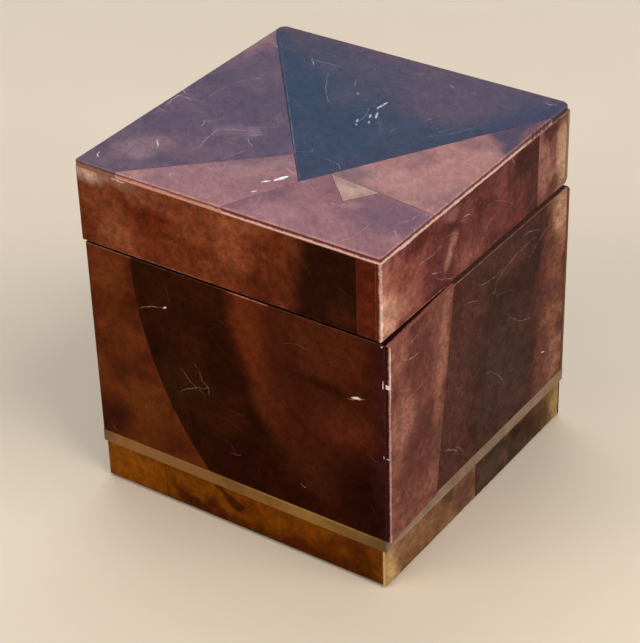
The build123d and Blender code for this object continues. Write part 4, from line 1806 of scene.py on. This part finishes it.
        ScratchAndHighlight((-21, -10.7), (-13.3, -6.1), 0.3, bow=0.3),
        ScratchAndHighlight((-17.2, -14.6), (-11.8, -19.4), 0.45, 0.4, bow=0.3),
        RubAndHighlight((-10.4, 0.4), (0.4, -17.4), 0.45, 0.4, tint=(170, 160, 168)),
    ),
    "top_tile_back": (
        Cloud((8, 52), (40, 27), (88, 74, 91), 0.85),
        Cloud((-36, 42), (7, 4.6), (82, 70, 87), 0.7, turn=-20),
        Cloud((22, 34), (13, 14), (94, 77, 92), turn=-20),
        Cloud((6.6, 45.6), (6, 5), (98, 78, 90), 0.5),
        Cloud((-6, 33), (2.6, 14), (72, 74, 93), 0.5, turn=-8),
        Cloud((-8, 21), (4, 6), (78, 74, 93), 0.6),
        Cloud((17, 9), (7, 9), (70, 71, 92), 0.6, turn=-25),
        Sweep((4.4, -25), (45, 43.4), (64, 64, 86), 0.65, softness=3.5),
        Cloud((-22.6, 19.8), (6, 18), (50, 65, 86), 0.5, turn=42),
        Sweep((50, 49), (-50, 47), (104, 74, 78), 0.6, softness=2.5),
        RubAndHighlight((-12, -0.6), (0.6, -16.6), 0.5, 0.5, tint=(132, 136, 146)),
        RubAndHighlight((16.8, -17.6), (29.4, 3.4), 0.5, 0.5, tint=(176, 160, 164)),
        RubAndHighlight((-50, 47.6), (10, -28.4), 0.45, tint=(118, 112, 128)),
        ScratchAndHighlight((50, 36.8), (28.3, -2.9), 0.6, 0.5, tint=(52, 54, 74)),
        ScratchAndHighlight((-29.6, 36), (-26.2, 31.8), 0.6, 0.5),
        ScratchAndHighlight((-19.7, 30.2), (-12.9, 19.2), 0.45, bow=0.5),
        ScratchAndHighlight((-14, 19.9), (-9.1, 13.6), 0.4, 0.4, bow=-0.4),
        RubAndHighlight((5.5, 23.5), (5, 18.5), 0.9, 1.1, tint=(206, 206, 218)),
        RubAndHighlight((6.4, 16.8), (8, 13.2), 0.85, 1.0, tint=(200, 200, 214)),
        RubAndHighlight((5.4, 14.8), (6.3, 12.5), 0.8, 0.8, tint=(200, 200, 214)),
        RubAndHighlight((7.2, 11), (8.1, 9.3), 0.7, 0.8, tint=(180, 182, 200)),
        RubAndHighlight((3.8, 10.1), (4.7, 8.6), 0.85, 1.0, tint=(206, 206, 218)),
        RubAndHighlight((4.7, 8), (5.7, 6.7), 0.7, 0.7, tint=(190, 192, 206)),
        RubAndHighlight((-5.5, 24.2), (-4.5, 23.2), 0.7, 0.8, tint=(190, 192, 206)),
        ScratchAndHighlight((44.3, 47.4), (47.8, 47.8), 0.7, 0.5, bow=1.3),
        ScratchAndHighlight((15.2, 42.4), (17.3, 41.3), 0.5, 0.5),
        ScratchAndHighlight((7.9, -14.3), (17.2, -18.3), 0.35, bow=-1.5),
        ScratchAndHighlight((24, 9.4), (36.2, 27.3), 0.25, bow=1.8),
        ScratchAndHighlight((-1.5, 33.5), (10.9, 45.4), 0.25, bow=-1.4),
    ),
    "top_tile_front_left": (
        Cloud((-10.6, -26.9), (11, 3), (111, 86, 98), 0.75, turn=38),
        Cloud((-0.3, -23.2), (4, 4), (143, 111, 112), 0.7),
        Cloud((-4.2, -31.1), (7, 5), (160, 116, 118), 0.6),
        Cloud((-15, -33), (5, 4), (150, 110, 116), 0.7),
        Cloud((-18.6, -41.8), (12, 6), (154, 111, 115), 0.6),
        Cloud((-30, -47.6), (4, 3), (172, 126, 119), 0.7),
        Cloud((-6, -46.1), (10, 5), (158, 113, 114), 0.6),
        RubAndHighlight((3.9, -31.7), (6, -27.6), 1.0, 1.7, tint=(250, 250, 252)),
        RubAndHighlight((1.4, -34.2), (3.3, -32.2), 1.0, 1.1, tint=(250, 248, 248)),
        RubAndHighlight((2.3, -40.1), (3.3, -38.7), 0.9, 0.9, tint=(236, 228, 228)),
        RubAndHighlight((8.8, -32.1), (10.8, -28.7), 0.8, 1.0, tint=(206, 186, 178)),
        ScratchAndHighlight((-16.7, -34.8), (-13.9, -36.1), 0.4, 0.5),
    ),
    "top_tile_front": (
        Cloud((6.4, -42.3), (3, 8), (119, 84, 96), turn=-20),
        Cloud((13.6, -33.6), (4, 4), (146, 104, 108), 0.6),
        Cloud((30, -31.4), (3.4, 2), (168, 124, 122), turn=20),
        Cloud((45.4, -24.4), (5, 2), (164, 116, 118), 0.7, turn=-4),
        Cloud((14, -46), (10, 5.4), (168, 120, 124), 0.65),
        Cloud((42.7, -32.3), (12, 8), (119, 86, 98), 0.9),
        Cloud((30.8, -42.8), (8, 5), (143, 96, 102), 0.5),
        Cloud((45.8, -49), (8, 3.5), (149, 104, 106), 0.6),
        Sweep((50, -24.2), (8, -20.4), (105, 80, 95), 0.3, width=2),
        ScratchAndHighlight((45.8, -36.7), (49.6, -39.8), 0.55, 0.35, bow=0.3),
        ScratchAndHighlight((46.8, -38.3), (50.6, -41.3), 0.4),
        ScratchAndHighlight((47.5, -26.3), (45.1, -33), 0.5, 0.4, bow=-1),
        ScratchAndHighlight((49.3, -29.5), (50.6, -34.5), 0.35),
        ScratchAndHighlight((24.2, -33.4), (25.2, -34.2), 0.5, 0.5),
    ),
    "top_tile_inlay": (
        Cloud((23.5, -25.9), (4, 2.5), (185, 153, 138)),
        Cloud((30.6, -26.1), (4, 4), (164, 126, 121), 0.7),
    ),
    "top_tile_right": (
        Cloud((40.5, -1.4), (10, 12), (173, 121, 113)),
        Cloud((31.5, -14.1), (8, 5), (175, 128, 123)),
        Cloud((31.4, -1), (5, 5), (140, 101, 103), 0.7),
        Cloud((20.3, -16.8), (5, 4), (121, 97, 101), 0.85),
        Cloud((17.3, -21.3), (3, 1.5), (157, 122, 114), 0.7),
        Cloud((39.4, 14.9), (5, 4), (138, 96, 100), 0.7),
        Sweep((50.6, 11), (39.6, 24.8), (76, 65, 83), 0.95, softness=2.4),
        Cloud((51.2, 31), (1.8, 8), (124, 78, 88), 0.75),
        ScratchAndHighlight((26.5, -23.6), (35.6, -18.2), 0.3, bow=0.4),
        ScratchAndHighlight((38.6, -9.3), (48.6, -1.7), 0.25, bow=-1),
    ),
}
EDGE_MARKS: dict[str, tuple[Mark, ...]] = {
    # White flecks on the tile's front edge: wear and painted glints in one.
    "body_tile_right_front": (
        RubAndHighlight((-50.8, 69.6), (-50.8, 71), 0.9, 0.6, tint=CHIP_AND_GLINT),
        RubAndHighlight((-50.8, 46.3), (-50.8, 46.6), 0.6, 0.4, tint=CHIP_AND_GLINT),
    ),
    "body_tile_right_back": (RubAndHighlight((-15, 83.3), (50, 83.3), 0.8, 0.7, tint=(92, 58, 50)),),
    "top_tile_right": (RubAndHighlight((51, 23), (51, 40), 0.9, 1.2, tint=(78, 26, 34)),),
}

SHELL = (
    Cladding(
        Face.FRONT,
        {"body_tile_front_left": UMBER, "body_tile_front_right": replace(DARK, wear=0.15)},
    ),
    Cladding(
        Face.RIGHT,
        {
            # Pale rim: a painted highlight on the tile's front edge; dark foot: painted shade in
            # the gap beside the box and under the lid.
            "body_tile_right_front": replace(
                ROSE,
                main=(118, 65, 54),
                light=(133, 80, 66),
                rim=(150, 92, 78),
                foot=(44, 18, 18),
                foot_top=49.8,
                foot_lean=0.0419,
                foot_lift=0.75,
            ),
            "body_tile_right_back": DUSK,
        },
    ),
    Cladding(
        Face.BACK,
        {"body_tile_back_right": replace(DUSK, rim=(112, 72, 52)), "body_tile_back_left": UMBER},
    ),
    Cladding(Face.LEFT, {"body_tile_left_back": UMBER, "body_tile_left_front": DARK}),
    Cladding(
        Face.FRONT,
        {
            "lid_tile_front_left": LID_UMBER,
            "lid_tile_front_right": replace(
                LID_UMBER, deep=(78, 27, 10), main=(88, 32, 13), light=(96, 38, 18)
            ),
        },
        centre=(-1.0, 0.0),
    ),
    Cladding(
        Face.RIGHT,
        {
            # Pale rim: a painted highlight on the lid's front corner; dark foot: painted shade in
            # the gap beside the lid's wall.
            "lid_tile_right_front": replace(
                ROSE,
                deep=(82, 33, 30),
                main=(102, 46, 42),
                light=(118, 59, 52),
                rim=(214, 150, 138),
                foot=(94, 38, 20),
                foot_top=49.35,
            ),
            "lid_tile_right_back": replace(FAWN, deep=(118, 68, 62), main=(136, 86, 76)),
        },
    ),
    Cladding(
        Face.BACK,
        {
            # Its pale rim is painted light on the back edge, which lies in shade.
            "lid_tile_back_right": replace(LID_UMBER, rim=(150, 118, 98)),
            "lid_tile_back_left": ROSE,
        },
    ),
    Cladding(Face.LEFT, {"lid_tile_left_back": LID_UMBER, "lid_tile_left_front": ROSE}),
    Cladding(Face.FRONT, {"foot_tile_front_left": AMBER, "foot_tile_front_right": AMBER}),
    Cladding(
        Face.RIGHT,
        {
            "foot_tile_right_front": replace(PEBBLE, rim=(206, 170, 120)),
            "foot_tile_right_middle": SOOT,
            "foot_tile_right_back": OLIVE,
        },
    ),
    Cladding(Face.BACK, {"foot_tile_back_right": OLIVE, "foot_tile_back_left": AMBER}),
    Cladding(Face.LEFT, {"foot_tile_left_whole": AMBER}),
    Cladding(
        Face.TOP,
        {
            "top_tile_left": MAUVE_AND_REFLECTION,
            "top_tile_back": SLATE_AND_REFLECTION,
            # Its pale foot is a painted highlight along the rounded edge under the top.
            "top_tile_front_left": replace(
                TOP_PINK, rim=(140, 70, 64), foot=(206, 148, 132), foot_top=109.0
            ),
            "top_tile_front": replace(
                TOP_PINK, deep=(126, 88, 97), main=(141, 96, 102), rim=(112, 46, 46)
            ),
            "top_tile_inlay": TAN,
            "top_tile_right": TOP_ROSE,
        },
        centre=(-1.0, 0.0),
    ),
)


def main() -> None:
    """Dress the box, lay its felt and set up the studio."""
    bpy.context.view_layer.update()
    Studio().build()
    seed = 1
    for cladding in SHELL:
        seed = cladding.build(seed)
    Carcass().build()
    BrassWork().build()
    FeltPads().build()
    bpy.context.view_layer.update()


if __name__ == "__main__":
    main()
